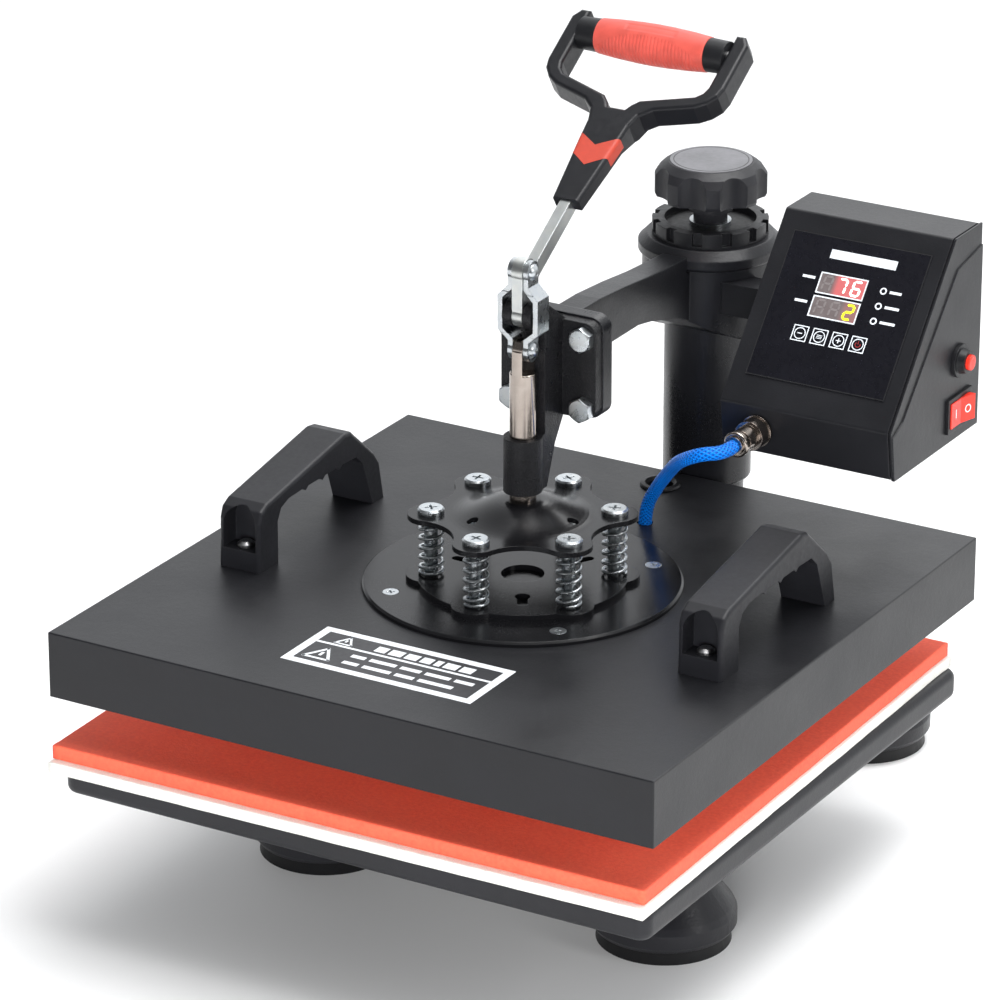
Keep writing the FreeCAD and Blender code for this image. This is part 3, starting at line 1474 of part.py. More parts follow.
# --------------------------------------------------------------------------------------------------
# Check and write
# --------------------------------------------------------------------------------------------------
doc.recompute()
for item in doc.Objects:
    if "Invalid" in item.State or "Error" in item.State:
        raise RuntimeError(f"{item.Label} ({item.Name}) failed: {item.State}")
os.makedirs("parts", exist_ok=True)
everything = FreeCAD.BoundBox()
for part in nodes:
    shape = part.Shape
    if shape.isNull() or not shape.isValid() or not shape.Solids:
        raise RuntimeError(f"{part.Label} has no valid solid")
    everything.add(shape.BoundBox)
    shape.exportStep(f"parts/{part.Label}.step")
print(f"{len(nodes)} sub-parts, {everything}")
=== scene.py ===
import math

import bpy
import numpy as np
from mathutils import Matrix, Vector, noise


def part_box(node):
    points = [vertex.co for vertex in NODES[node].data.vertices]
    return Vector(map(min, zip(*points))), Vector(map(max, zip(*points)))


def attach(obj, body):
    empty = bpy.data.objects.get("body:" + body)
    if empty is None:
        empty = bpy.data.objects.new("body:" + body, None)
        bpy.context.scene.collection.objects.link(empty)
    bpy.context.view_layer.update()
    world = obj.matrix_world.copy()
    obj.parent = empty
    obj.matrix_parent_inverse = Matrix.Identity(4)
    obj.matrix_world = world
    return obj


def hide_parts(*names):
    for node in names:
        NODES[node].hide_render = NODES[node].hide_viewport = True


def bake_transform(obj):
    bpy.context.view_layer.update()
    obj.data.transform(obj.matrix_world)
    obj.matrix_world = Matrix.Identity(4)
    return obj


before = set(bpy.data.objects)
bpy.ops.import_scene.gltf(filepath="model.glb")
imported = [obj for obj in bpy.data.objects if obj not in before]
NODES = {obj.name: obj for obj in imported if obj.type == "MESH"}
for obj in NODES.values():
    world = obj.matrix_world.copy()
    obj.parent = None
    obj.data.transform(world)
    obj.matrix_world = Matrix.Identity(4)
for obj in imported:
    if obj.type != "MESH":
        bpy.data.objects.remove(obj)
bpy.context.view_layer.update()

# Heat press. Every length below is in millimetres, measured from the plunger's axis on the bench,
# with x to the operator's right, y towards the post and z up. at() turns it into the frame's metres.
MM = 0.001
plunger_low, plunger_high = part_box("plunger_rod")
AXIS = (plunger_low + plunger_high) / 2


def at(x, y, z):
    """A point of the press in the frame's metres."""
    return Vector((AXIS.x + x * MM, AXIS.y + y * MM, z * MM))


def top_of(node):
    """The height of a CAD node's highest point, in millimetres."""
    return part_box(node)[1].z / MM


# --------------------------------------------------------------------------------------------------
# Camera, light and floor
# --------------------------------------------------------------------------------------------------
CAMERA_PLACE = (1479.38, -2541.23, 1438.61)
CAMERA_AZIMUTH = 30.46
CAMERA_ELEVATION = 22.30
LENS = 200.43


def looking(azimuth, elevation):
    """The rotation of a camera or lamp that looks at the press from that side."""
    a, e = math.radians(azimuth), math.radians(elevation)
    back = Vector((math.sin(a) * math.cos(e), -math.cos(a) * math.cos(e), math.sin(e)))
    right = Vector((0, 0, 1)).cross(back).normalized()
    return back, Matrix((right, back.cross(right), back)).transposed().to_4x4()


def add_object(name, data):
    thing = bpy.data.objects.new(name, data)
    bpy.context.scene.collection.objects.link(thing)
    return thing


def make_camera():
    data = bpy.data.cameras.new("camera")
    data.sensor_width = 36
    data.lens = LENS
    data.clip_start, data.clip_end = 0.1, 50
    camera = add_object("camera", data)
    camera.matrix_world = Matrix.Translation(at(*CAMERA_PLACE)) @ looking(CAMERA_AZIMUTH, CAMERA_ELEVATION)[1]
    bpy.context.scene.camera = camera


def softbox(name, azimuth, elevation, distance, size, watts, colour=(1, 1, 1)):
    """A square soft lamp that faces the middle of the press."""
    data = bpy.data.lights.new(name, "AREA")
    data.shape = "SQUARE"
    data.size = size
    data.energy = watts
    data.color = colour
    back, turn = looking(azimuth, elevation)
    lamp = add_object(name, data)
    lamp.matrix_world = Matrix.Translation(Vector((0, 0, 0.25)) + back * distance) @ turn
    return lamp


def make_world():
    """A studio that is dark in front and bright towards the backdrop and the ceiling."""
    world = bpy.data.worlds.new("studio")
    world.use_nodes = True
    tree = world.node_tree
    background = tree.nodes["Background"]
    place = tree.nodes.new("ShaderNodeSeparateXYZ")
    tree.links.new(tree.nodes.new("ShaderNodeTexCoord").outputs["Generated"], place.inputs[0])
    levels = []
    for axis, start, end, level in (("Y", -0.15, 0.75, 1.0), ("Z", 0.80, 1.0, 0.45)):
        ramp = tree.nodes.new("ShaderNodeMapRange")
        ramp.interpolation_type = "SMOOTHSTEP"
        tree.links.new(place.outputs[axis], ramp.inputs["Value"])
        for socket, value in (("From Min", start), ("From Max", end), ("To Min", 0.0), ("To Max", level)):
            ramp.inputs[socket].default_value = value
        levels.append(ramp.outputs["Result"])
    total = tree.nodes.new("ShaderNodeMath")
    total.operation = "MULTIPLY_ADD"
    tree.links.new(levels[0], total.inputs[0])
    total.inputs[1].default_value = 1.0
    tree.links.new(levels[1], total.inputs[2])
    base = tree.nodes.new("ShaderNodeMath")
    tree.links.new(total.outputs[0], base.inputs[0])
    base.inputs[1].default_value = DARK_SIDE
    tree.links.new(base.outputs[0], background.inputs["Strength"])
    background.inputs["Color"].default_value = (0.95, 0.97, 1.0, 1)
    bpy.context.scene.world = world
    bpy.context.scene.view_settings.view_transform = "Standard"


DARK_SIDE = 0.14


# --------------------------------------------------------------------------------------------------
# Materials
# --------------------------------------------------------------------------------------------------
class Look:
    """One procedural material, built up node by node. Grain sizes are in millimetres."""

    def __init__(self, name, colour, roughness, metallic=0.0, **settings):
        self.material = bpy.data.materials.new(name)
        self.material.use_nodes = True
        self.tree = self.material.node_tree
        self.shader = self.tree.nodes["Principled BSDF"]
        self.place = self.add("ShaderNodeTexCoord").outputs["Object"]
        self.colour = colour
        self.roughness = roughness
        self.set("Base Color", (*colour, 1.0))
        self.set("Roughness", roughness)
        self.set("Metallic", metallic)
        for socket, value in settings.items():
            self.set(socket.replace("_", " "), value)
        self.normal = None

    def add(self, kind, **settings):
        node = self.tree.nodes.new(kind)
        for key, value in settings.items():
            setattr(node, key, value)
        return node

    def set(self, socket, value):
        """Give a shader socket a plain value or a node's output."""
        if isinstance(value, bpy.types.NodeSocket):
            self.tree.links.new(value, self.shader.inputs[socket])
        else:
            self.shader.inputs[socket].default_value = value

    def feed(self, node, values):
        for key, value in values.items():
            if isinstance(value, bpy.types.NodeSocket):
                self.tree.links.new(value, node.inputs[key])
            else:
                node.inputs[key].default_value = value

    def stretched(self, x, y, z):
        """The place, scaled so that grain runs along an axis."""
        node = self.add("ShaderNodeVectorMath", operation="MULTIPLY")
        self.feed(node, {0: self.place, 1: (x, y, z)})
        return node.outputs[0]

    def grain(self, size, detail=3.0, place=None):
        """Soft noise whose blobs are about that size."""
        node = self.add("ShaderNodeTexNoise")
        self.feed(node, {"Vector": place or self.place, "Scale": 1 / (size * MM), "Detail": detail})
        return node.outputs["Fac"]

    def cells(self, size, place=None):
        """Rounded pits or pores of about that size."""
        node = self.add("ShaderNodeTexVoronoi", feature="SMOOTH_F1")
        self.feed(node, {"Vector": place or self.place, "Scale": 1 / (size * MM)})
        return node.outputs["Distance"]

    def spread(self, value, low, high, start=0.3, end=0.7):
        """Map a noise value onto a range."""
        node = self.add("ShaderNodeMapRange")
        self.feed(node, {"Value": value, "From Min": start, "From Max": end, "To Min": low, "To Max": high})
        return node.outputs["Result"]

    def mixed(self, factor, first, second):
        """A colour between two colours."""
        node = self.add("ShaderNodeMix", data_type="RGBA")
        self.feed(node, {0: factor, 6: self.full(first), 7: self.full(second)})
        return node.outputs[2]

    @staticmethod
    def full(colour):
        return colour if isinstance(colour, bpy.types.NodeSocket) else (*colour, 1.0)

    def math(self, operation, first, second):
        node = self.add("ShaderNodeMath", operation=operation)
        self.feed(node, {0: first, 1: second})
        return node.outputs[0]

    def soft_edges(self, radius):
        """Round the shading at sharp edges, and return a mask of those edges."""
        bevel = self.add("ShaderNodeBevel", samples=4)
        bevel.inputs["Radius"].default_value = radius * MM
        self.normal = bevel.outputs["Normal"]
        facing = self.add("ShaderNodeVectorMath", operation="DOT_PRODUCT")
        self.feed(facing, {0: self.normal, 1: self.add("ShaderNodeNewGeometry").outputs["Normal"]})
        return self.spread(facing.outputs["Value"], 1.0, 0.0, 0.80, 0.995)

    def bump(self, height, depth, strength=1.0):
        """Relief of that depth in millimetres."""
        node = self.add("ShaderNodeBump")
        self.feed(node, {"Height": height, "Distance": depth * MM, "Strength": strength})
        if self.normal is not None:
            self.tree.links.new(self.normal, node.inputs["Normal"])
        self.normal = node.outputs["Normal"]
        self.set("Normal", self.normal)

    def vary(self, size, amount, colour_amount=0.0, place=None):
        """Let roughness, and colour if asked, drift over the surface."""
        drift = self.grain(size, 4.0, place)
        self.set("Roughness", self.spread(drift, self.roughness - amount, self.roughness + amount))
        if colour_amount:
            dark = [c * (1 - colour_amount) for c in self.colour]
            light = [min(1.0, c * (1 + colour_amount)) for c in self.colour]
            self.set("Base Color", self.mixed(self.spread(drift, 0, 1), dark, light))


def painted(name, colour, roughness, pit, depth, wear_and_highlight=0.5, edge=0.5):
    """Paint or powder coat: fine orange peel, slow drift, and edges a little lighter, partly rubbed wear and partly a
    painted highlight.
    """
    look = Look(name, colour, roughness, Specular_IOR_Level=0.36)
    edges = look.soft_edges(edge)
    drift = look.grain(45, 4.0)
    speck = look.grain(pit * 0.7, 2.0)
    dark = [c * 0.82 for c in colour]
    body = look.mixed(look.spread(drift, 0, 1), dark, [c * 1.2 for c in colour])
    # Lighter edges: partly rubbed wear, partly a painted highlight where the edges would catch the light.
    rubbed_and_highlit = look.math("MULTIPLY", edges, look.spread(look.grain(9, 4.0), 0.15, wear_and_highlight, 0.4, 0.65))
    look.set("Base Color", look.mixed(rubbed_and_highlit, body, [min(1, c * 3 + 0.02) for c in colour]))
    look.set("Roughness", look.math("ADD", look.spread(drift, roughness - 0.05, roughness + 0.05),
                                    look.spread(speck, -0.04, 0.04)))
    look.bump(look.cells(pit), depth)
    look.bump(look.grain(pit * 5, 2.0), depth * 2)
    return look.material


def casting(name, colour):
    """Thick glossy paint over a rough sand casting."""
    look = Look(name, colour, 0.30, Specular_IOR_Level=0.3, Coat_Weight=0.15, Coat_Roughness=0.2)
    look.soft_edges(1.2)
    drift = look.grain(30, 4.0)
    look.set("Base Color", look.mixed(look.spread(drift, 0, 1), [c * 0.8 for c in colour],
                                      [c * 1.35 for c in colour]))
    look.set("Roughness", look.spread(look.grain(6, 5.0), 0.26, 0.46))
    look.bump(look.grain(1.1, 4.0), 0.7)
    look.bump(look.cells(0.8), 0.3)
    return look.material


def plated(name, colour, roughness, tint, lay=(1, 1, 1), depth=0.004):
    """Bright plating: a little cloudy, with fine marks along its lay."""
    look = Look(name, colour, roughness, 1.0)
    edges = look.soft_edges(0.4)
    place = look.stretched(*lay)
    cloud = look.grain(7, 4.0)
    body = look.mixed(look.spread(cloud, 0, 1), colour, tint)
    # Edges a quarter lighter in colour: a painted highlight.
    look.set("Base Color", look.mixed(edges, body, [min(1, c * 1.25) for c in colour]))
    look.set("Roughness", look.spread(look.grain(3.5, 3.0, place), roughness - 0.03, roughness + 0.05))
    look.bump(look.grain(2.5, 2.0, place), depth)
    return look.material


def moulded(name, colour, roughness, depth=0.03):
    """Moulded plastic with a fine even grain."""
    look = Look(name, colour, roughness, Specular_IOR_Level=0.32)
    edges = look.soft_edges(0.6)
    drift = look.grain(25, 3.0)
    body = look.mixed(look.spread(drift, 0, 1), [c * 0.85 for c in colour], [c * 1.15 for c in colour])
    # Edges lighter in colour: a painted highlight.
    look.set("Base Color", look.mixed(look.math("MULTIPLY", edges, 0.35), body, [c * 2 + 0.015 for c in colour]))
    look.set("Roughness", look.spread(look.grain(3, 4.0), roughness - 0.06, roughness + 0.06))
    look.bump(look.cells(0.55), depth)
    look.bump(look.grain(6, 2.0), depth)
    return look.material


def felt():
    look = Look("felt", (0.86, 0.85, 0.80), 0.95, Sheen_Weight=0.4, Sheen_Roughness=0.6)
    fibres = look.grain(0.8, 5.0, look.stretched(1, 1, 2.5))
    clumps = look.grain(6, 4.0)
    shade = look.mixed(look.spread(fibres, 0, 1), (0.70, 0.69, 0.62), (0.93, 0.92, 0.88))
    look.set("Base Color", look.mixed(look.spread(clumps, 0, 0.45), shade, (0.90, 0.88, 0.80)))
    look.bump(fibres, 0.7)
    look.bump(clumps, 0.5)
    return look.material


def sponge():
    """Red silicone sponge: fine pores, with a slightly mottled skin."""
    look = Look("sponge", (0.85, 0.12, 0.065), 0.78, Subsurface_Weight=0.12,
                Subsurface_Radius=(1.0, 0.3, 0.15), Subsurface_Scale=0.002)
    pores = look.cells(0.9)
    mottle = look.grain(2.2, 5.0)
    skin = look.mixed(look.spread(mottle, 0, 1), (0.78, 0.095, 0.052), (0.90, 0.145, 0.080))
    look.set("Base Color", look.mixed(look.spread(look.grain(40, 3.0), 0, 0.3), skin, (0.86, 0.15, 0.085)))
    look.set("Roughness", look.spread(mottle, 0.70, 0.88))
    look.bump(pores, 0.12, 0.7)
    look.bump(mottle, 0.25, 0.6)
    return look.material


def rubber(name, colour, roughness=0.6, sheen=0.1):
    look = Look(name, colour, roughness, Sheen_Weight=sheen, Specular_IOR_Level=0.4)
    look.vary(8, 0.08, 0.12)
    look.bump(look.grain(0.7, 4.0), 0.05)
    return look.material


def woven_sleeve():
    """Braided sleeving, from the tube's own (along, round) map."""
    look = Look("woven_sleeve", (0.0, 0.14, 0.62), 0.45, Specular_IOR_Level=0.3)
    uv = look.add("ShaderNodeSeparateXYZ")
    look.tree.links.new(look.add("ShaderNodeTexCoord").outputs["UV"], uv.inputs[0])
    strands = []
    for turn in (1, -1):
        phase = look.math("ADD", look.math("MULTIPLY", uv.outputs["X"], 2 * math.pi * 10 * turn),
                          look.math("MULTIPLY", uv.outputs["Y"], 2 * math.pi * 62))
        strands.append(look.math("SINE", phase, 0.0))
    weave = look.math("MAXIMUM", strands[0], strands[1])
    thread = look.spread(weave, 0, 1, -0.4, 1.0)
    look.set("Base Color", look.mixed(thread, (0.0, 0.06, 0.36), (0.0, 0.20, 0.80)))
    look.bump(weave, 0.35)
    return look.material


def plain(name, colour, roughness=0.5, glow=0.0):
    """Printed ink, or a lit segment when it glows."""
    look = Look(name, colour, roughness, Emission_Color=(*colour, 1), Emission_Strength=glow)
    look.vary(3, 0.05, 0.06)
    look.bump(look.grain(0.6, 3.0), 0.01)
    return look.material


def display_glass():
    """Smoked display window, lit from behind near the burning digits."""
    look = Look("display_glass", (0.12, 0.10, 0.10), 0.18)
    glow = look.add("ShaderNodeVertexColor", layer_name="glow").outputs["Color"]
    base = look.mixed(look.spread(look.grain(5, 2.0), 0, 1), (0.115, 0.095, 0.095), (0.14, 0.12, 0.12))
    look.set("Base Color", base)
    look.set("Emission Color", glow)
    look.set("Emission Strength", 1.0)
    look.bump(look.grain(1.5, 2.0), 0.01)
    return look.material


def floor_paper():
    look = Look("floor_paper", (0.84, 0.84, 0.84), 0.95, Specular_IOR_Level=0.1)
    look.vary(400, 0.03, 0.01)
    return look.material


BLACK = (0.0085, 0.0087, 0.0105)
MATERIALS = {
    "cast": casting("textured_casting", (0.006, 0.006, 0.007)),
    "base_cast": painted("base_casting", (0.010, 0.010, 0.012), 0.38, 1.6, 0.08, 0.4, 1.2),
    "arm_cast": painted("arm_casting_paint", (0.008, 0.0082, 0.010), 0.34, 1.3, 0.06, 0.4, 1.4),
    "sheet": painted("sheet_paint", BLACK, 0.40, 0.8, 0.035, 0.45, 0.8),
    "plate": painted("plate_paint", (0.011, 0.0112, 0.0135), 0.40, 0.9, 0.04, 0.4, 1.0),
    "oxide": painted("black_zinc", (0.005, 0.005, 0.0058), 0.22, 0.6, 0.012, 0.6, 0.5),
    "zinc": plated("bright_zinc", (0.56, 0.60, 0.63), 0.28, (0.64, 0.66, 0.66)),
    "zinc_bar": plated("zinc_bar", (0.62, 0.65, 0.65), 0.34, (0.72, 0.73, 0.70), (1, 0.4, 0.2), 0.015),
    "steel": plated("screw_steel", (0.55, 0.55, 0.56), 0.30, (0.62, 0.61, 0.60)),
    "nickel": plated("warm_nickel", (0.36, 0.31, 0.275), 0.17, (0.42, 0.37, 0.33), (1, 1, 12), 0.006),
    "aluminium": plated("cast_aluminium", (0.72, 0.72, 0.72), 0.34, (0.80, 0.80, 0.79), (0.1, 1, 1), 0.04),
    "post": painted("post_paint", (0.007, 0.0072, 0.0088), 0.30, 1.2, 0.03, 0.5, 0.6),
    "plastic": moulded("black_plastic", (0.009, 0.0092, 0.0105), 0.40),
    "yoke": moulded("handle_plastic", (0.009, 0.0092, 0.011), 0.36, 0.02),
    "handle": moulded("pull_handle_plastic", (0.012, 0.0122, 0.0145), 0.45, 0.04),
    "knob": moulded("knob_plastic", (0.014, 0.0142, 0.0165), 0.44, 0.04),
    "insert": moulded("insert_grey", (0.14, 0.14, 0.15), 0.38, 0.015),
    "film": moulded("panel_film", (0.005, 0.005, 0.0075), 0.30, 0.006),
    "glossy_red": moulded("switch_red", (0.75, 0.035, 0.02), 0.22, 0.004),
    "grip": rubber("grip_rubber", (0.52, 0.075, 0.056), 0.5),
    "foot": rubber("foot_rubber", (0.004, 0.004, 0.0045), 0.5, 0.0),
    "felt": felt(),
    "sponge": sponge(),
    "fibre": rubber("fibre_blanket", (0.75, 0.72, 0.62), 0.9),
    "board": moulded("circuit_board", (0.02, 0.14, 0.05), 0.4),
    "sleeve": woven_sleeve(),
    "band": plain("band_red", (0.40, 0.040, 0.020), 0.5),
    "ink": plain("pale_ink", (0.66, 0.70, 0.74)),
    "label": plain("label_white", (0.74, 0.77, 0.80), 0.45),
    "label_ground": plain("label_ground", (0.020, 0.020, 0.023), 0.42),
    "dark_ink": plain("dark_ink", (0.012, 0.012, 0.013)),
    "red_ink": plain("red_ink", (0.25, 0.02, 0.02)),
    "glass": display_glass(),
    "segment_off": plain("segment_off", (0.17, 0.15, 0.15), 0.3),
    "segment_white": plain("segment_white", (1.0, 0.80, 0.76), 0.3, 1.6),
    "segment_lime": plain("segment_lime", (0.75, 1.0, 0.02), 0.3, 1.3),
    "floor": floor_paper(),
}

NODE_LOOKS = {
    "foot": ["foot_pads"],
    "base_cast": ["base_legs", "front_crossbar", "rear_crossbar", "base_spine"],
    "plate": ["lower_plate"],
    "post": ["post", "arm_sleeve"],
    "arm_cast": ["arm_casting", "hub_cap"],
    "cast": ["toggle_bracket"],
    "plastic": ["castle_ring", "mains_inlet", "button_bezel", "rocker_bezel", "wire_grommet", "grip_sleeves"],
    "yoke": ["handle_yoke"],
    "handle": ["side_handle_left", "side_handle_right"],
    "knob": ["height_knob"],
    "insert": ["knob_insert"],
    "sheet": ["control_shell", "side_cover", "box_bracket", "upper_housing"],
    "oxide": ["star_plate", "spring_plate", "adapter_disc"],
    "zinc": ["thrust_washer", "bracket_bolts", "pivot_pin", "toggle_links", "link_rivets", "disc_screws",
             "shoulder_screws", "height_screw", "height_nut", "base_bolts"],
    "zinc_bar": ["lever_bar"],
    "steel": ["grip_core", "handle_screws"],
    "nickel": ["plunger_rod", "lead_socket", "lead_plug"],
    "aluminium": ["heat_plate"],
    "film": ["panel_overlay", "key_minus", "key_mode", "key_plus", "key_power"],
    "glossy_red": ["reset_button", "power_rocker"],
    "fibre": ["insulation"],
    "board": ["circuit_board"],
}


def finish_nodes():
    """Give every CAD node that stays in view its material."""
    for look, names in NODE_LOOKS.items():
        for name in names:
            thing = NODES[name]
            while len(thing.material_slots) < 1:
                thing.data.materials.append(None)
            for holder in thing.material_slots:
                holder.material = MATERIALS[look]


# --------------------------------------------------------------------------------------------------
# New pieces
# --------------------------------------------------------------------------------------------------
def piece_of(name, points, faces, look, smooth=True):
    """A mesh object from points in the frame's metres."""
    mesh = bpy.data.meshes.new(name)
    mesh.from_pydata([tuple(p) for p in points], [], faces)
    mesh.validate()
    mesh.update()
    mesh.shade_smooth() if smooth else mesh.shade_flat()
    mesh.materials.append(MATERIALS[look])
    return add_object(name, mesh)


def ring_faces(rings, around, closed_ends=True):
    """Quads between rings of points, with a cap on each end."""
    faces = []
    for i in range(rings - 1):
        for j in range(around):
            k = (j + 1) % around
            faces.append((i * around + j, i * around + k, (i + 1) * around + k, (i + 1) * around + j))
    if closed_ends:
        faces.append(tuple(reversed(range(around))))
        faces.append(tuple(range((rings - 1) * around, rings * around)))
    return faces


def square_ring(corners, inset, per_side):
    """Points round a four-cornered outline, moved in towards its middle by inset metres."""
    centre = sum(corners, Vector()) / 4
    reach = (corners[0] - centre).length
    scaled = [centre + (c - centre) * max(0.0, 1 - inset * math.sqrt(2) / reach) for c in corners]
    points = []
    for i in range(4):
        for j in range(per_side):
            points.append(scaled[i].lerp(scaled[(i + 1) % 4], j / per_side))
    return points


def soft_pad(node, name, look, edge, waviness):
    """A loose pad with softened edges and a cut side that wanders a little, inside its CAD solid."""
    low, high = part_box(node)
    flat = [Vector((v.co.x, v.co.y, 0)) for v in NODES[node].data.vertices]
    corners = [max(flat, key=lambda p: a * p.x + b * p.y) for a, b in ((1, 1), (-1, 1), (-1, -1), (1, -1))]
    thick = high.z - low.z
    rows = [(0.35, 0.0), (0.12, 0.0), (0.03, 0.0)]
    rows += [(edge * 0.5 * (1 - math.sin(a)), edge * 0.5 * (1 - math.cos(a))) for a in np.linspace(0, math.pi / 2, 4)]
    rows += [(0.0, thick * f) for f in (0.35, 0.5, 0.65)]
    rows += [(edge * (1 - math.cos(a)), thick - edge * (1 - math.sin(a))) for a in np.linspace(0, math.pi / 2, 5)]
    rows += [(edge * 3, thick), (0.012, thick), (0.03, thick), (0.08, thick), (0.15, thick)]
    per_side = 110
    points = []
    for inset, height in rows:
        for p in square_ring(corners, inset, per_side):
            wander = noise.noise(Vector((p.x * 60, p.y * 60, 3.7))) * 0.5 + 0.5
            ripple = noise.noise(Vector((p.x * 330, p.y * 330, height * 500))) * 0.5 + 0.5
            pull = (wander * waviness + ripple * waviness * 0.4) * MM
            out = Vector((p.x, p.y, 0)) - sum(corners, Vector()) / 4
            side = Vector((math.copysign(1, out.x) if abs(out.x) > abs(out.y) else 0,
                           math.copysign(1, out.y) if abs(out.y) >= abs(out.x) else 0, 0))
            dip = wander * 0.15 * MM if height > thick * 0.9 else 0.0
            points.append(Vector((p.x, p.y, low.z + height - dip)) - side * pull)
    around = 4 * per_side
    pad = piece_of(name, points, ring_faces(len(rows), around), look)
    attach(pad, "base")
    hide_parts(node)


LEVER_PIN = (0, 0, 372.0)
LEVER_LEAN = math.radians(57)
GRIP_UP = 176.0
GRIP_BACK = 6.0
GRIP_PROFILE = [(-36, 10.4), (-24, 11.4), (-10, 12.1), (0, 12.3), (10, 12.1), (24, 11.4), (36, 10.4)]


def on_lever(x, back, up):
    """A point of the lever: back is towards the lever's rear face, up is along the lever from its upper pin."""
    lean_sin, lean_cos = math.sin(LEVER_LEAN), math.cos(LEVER_LEAN)
    return at(x, back * lean_cos + up * lean_sin, LEVER_PIN[2] - back * lean_sin + up * lean_cos)


def ribbed_grip():
    """The red grip: barrel shaped, with ring grooves under the fingers and a shallow panel in front."""
    pitch, depth, half = 2.3, 0.55, 36.0
    steps, around = 320, 120
    xs, radii = zip(*GRIP_PROFILE)
    points = []
    for i in range(steps + 1):
        x = -half + 2 * half * i / steps
        radius = np.interp(x, xs, radii) - 0.02
        radius -= 0.8 * max(0.0, (abs(x) - 35.2) / 0.8) ** 2
        zone = math.radians(76) * math.sqrt(max(0.0, 1 - (x / 33.5) ** 2))
        wave = math.cos(2 * math.pi * x / pitch)
        groove = min(1.0, max(0.0, (wave - 0.35) / 0.4))
        for j in range(around):
            angle = 2 * math.pi * j / around
            offset = math.remainder(angle, 2 * math.pi)
            sink = depth * groove * min(1.0, max(0.0, (zone - abs(offset)) / math.radians(7)))
            from_panel = max(abs(math.remainder(angle - math.radians(97), 2 * math.pi)) / math.radians(13),
                             abs(x) / 17.5)
            sink += 0.35 * min(1.0, max(0.0, (1 - from_panel) / 0.12))
            r = radius - sink
            points.append(on_lever(x, GRIP_BACK - r * math.sin(angle), GRIP_UP - r * math.cos(angle)))
    grip = piece_of("ribbed_grip", points, ring_faces(steps + 1, around), "grip")
    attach(grip, "lever")
    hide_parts("handle_grip")


STEM_HALF = [(55.0, 8.5), (100.0, 12.5), (113.0, 13.5)]
STEM_FRONT = 1.5


def chevron_band():
    """The red V-shaped band that wraps the front and sides of the lever's stem."""
    side_low, side_high, dip = 88.0, 103.0, 7.5
    proud, corner = 0.12, 2.2
    section = [(1.0, 9.5), (1.0, 6.5), (1.0, 3.9)]
    turns = [(math.sin(a), math.cos(a)) for a in np.linspace(math.pi / 2, 0, 6)]
    rows = 9
    points = []
    for i in range(rows):
        share = i / (rows - 1)
        column = []
        for level, back in section:
            column.append(("side", level, back))
        column += [("corner", s, c) for s, c in turns]
        column += [("front", f, 0) for f in (0.8, 0.6, 0.4, 0.2, 0.0)]
        line = []
        for kind, a, b in column:
            up = side_low + (side_high - side_low) * share
            for _ in range(3):
                half = np.interp(up, *zip(*STEM_HALF))
                flat = half - corner
                if kind == "side":
                    x, back, drop = half + proud, b, 0.0
                elif kind == "corner":
                    x = flat + (corner + proud) * a
                    back = STEM_FRONT + corner - (corner + proud) * b
                    drop = 0.0 if a > 0.9 else dip * (half - x) / half
                else:
                    x, back = flat * a, STEM_FRONT - proud
                    drop = dip * (half - x) / half
                up = side_low + (side_high - side_low) * share - max(0.0, drop)
            line.append((x, back, up))
        mirrored = [(-x, back, up) for x, back, up in reversed(line[:-1])]
        points += [on_lever(*p) for p in line + mirrored]
    width = len(points) // rows
    faces = []
    for i in range(rows - 1):
        for j in range(width - 1):
            faces.append((i * width + j, (i + 1) * width + j, (i + 1) * width + j + 1, i * width + j + 1))
    band = piece_of("chevron_band", points, faces, "band")
    band.data.flip_normals()
    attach(band, "lever")


def tube(points, radius, around):
    """Rings of a round tube along points, and its faces. No ring twists against the one before."""
    heading = (points[1] - points[0]).normalized()
    across = heading.orthogonal().normalized()
    rings = []
    for i, p in enumerate(points):
        ahead = (points[min(i + 1, len(points) - 1)] - points[max(i - 1, 0)]).normalized()
        across = (across - ahead * across.dot(ahead)).normalized()
        over = ahead.cross(across)
        for j in range(around):
            a = 2 * math.pi * j / around
            rings.append(p + (across * math.cos(a) + over * math.sin(a)) * radius)
    return rings, ring_faces(len(points), around)


SPRING_CIRCLE, SPRING_RADIUS, SPRING_WIRE, SPRING_COILS = 52.5, 6.6, 1.0, 6.5
PLATE_TOP = top_of("spring_plate")
STAR_BOTTOM = 221.7


def compression_springs():
    """Six open coils with closed ends, built at one length; on the press they shorten as the platen floats up."""
    bottom, top = PLATE_TOP + SPRING_WIRE + 0.05, STAR_BOTTOM - SPRING_WIRE - 0.05
    steps = 34
    count = int(SPRING_COILS * steps)
    for number in range(6):
        turn = math.radians(30 + 60 * number)
        cx, cy = SPRING_CIRCLE * math.cos(turn), SPRING_CIRCLE * math.sin(turn)
        line = []
        for i in range(count + 1):
            share = i / count
            loops = share * SPRING_COILS
            rise = np.interp(loops, (0, 0.85, SPRING_COILS - 0.85, SPRING_COILS), (0, 0.06, 0.94, 1))
            a = 2 * math.pi * loops + number
            line.append(at(cx + SPRING_RADIUS * math.cos(a), cy + SPRING_RADIUS * math.sin(a),
                           bottom + (top - bottom) * rise))
        points, faces = tube(line, SPRING_WIRE * MM, 12)
        spring = piece_of(f"spring_{number + 1}", points, faces, "zinc")
        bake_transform(spring)
        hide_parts("springs")


LEAD_RADIUS = 4.0
LEAD_ROUTE = [
    (112.0, 43.9, 273.0),
    (112.0, 32.5, 273.0),
    (103.0, 25.0, 273.2),
    (90.5, 30.0, 266.5),
    (77.0, 44.0, 256.5),
    (62.0, 67.0, 243.5),
    (46.0, 88.0, 228.0),
    (30.0, 105.0, 210.5),
    (16.5, 115.0, 191.0),
    (16.5, 115.0, 178.5),
]


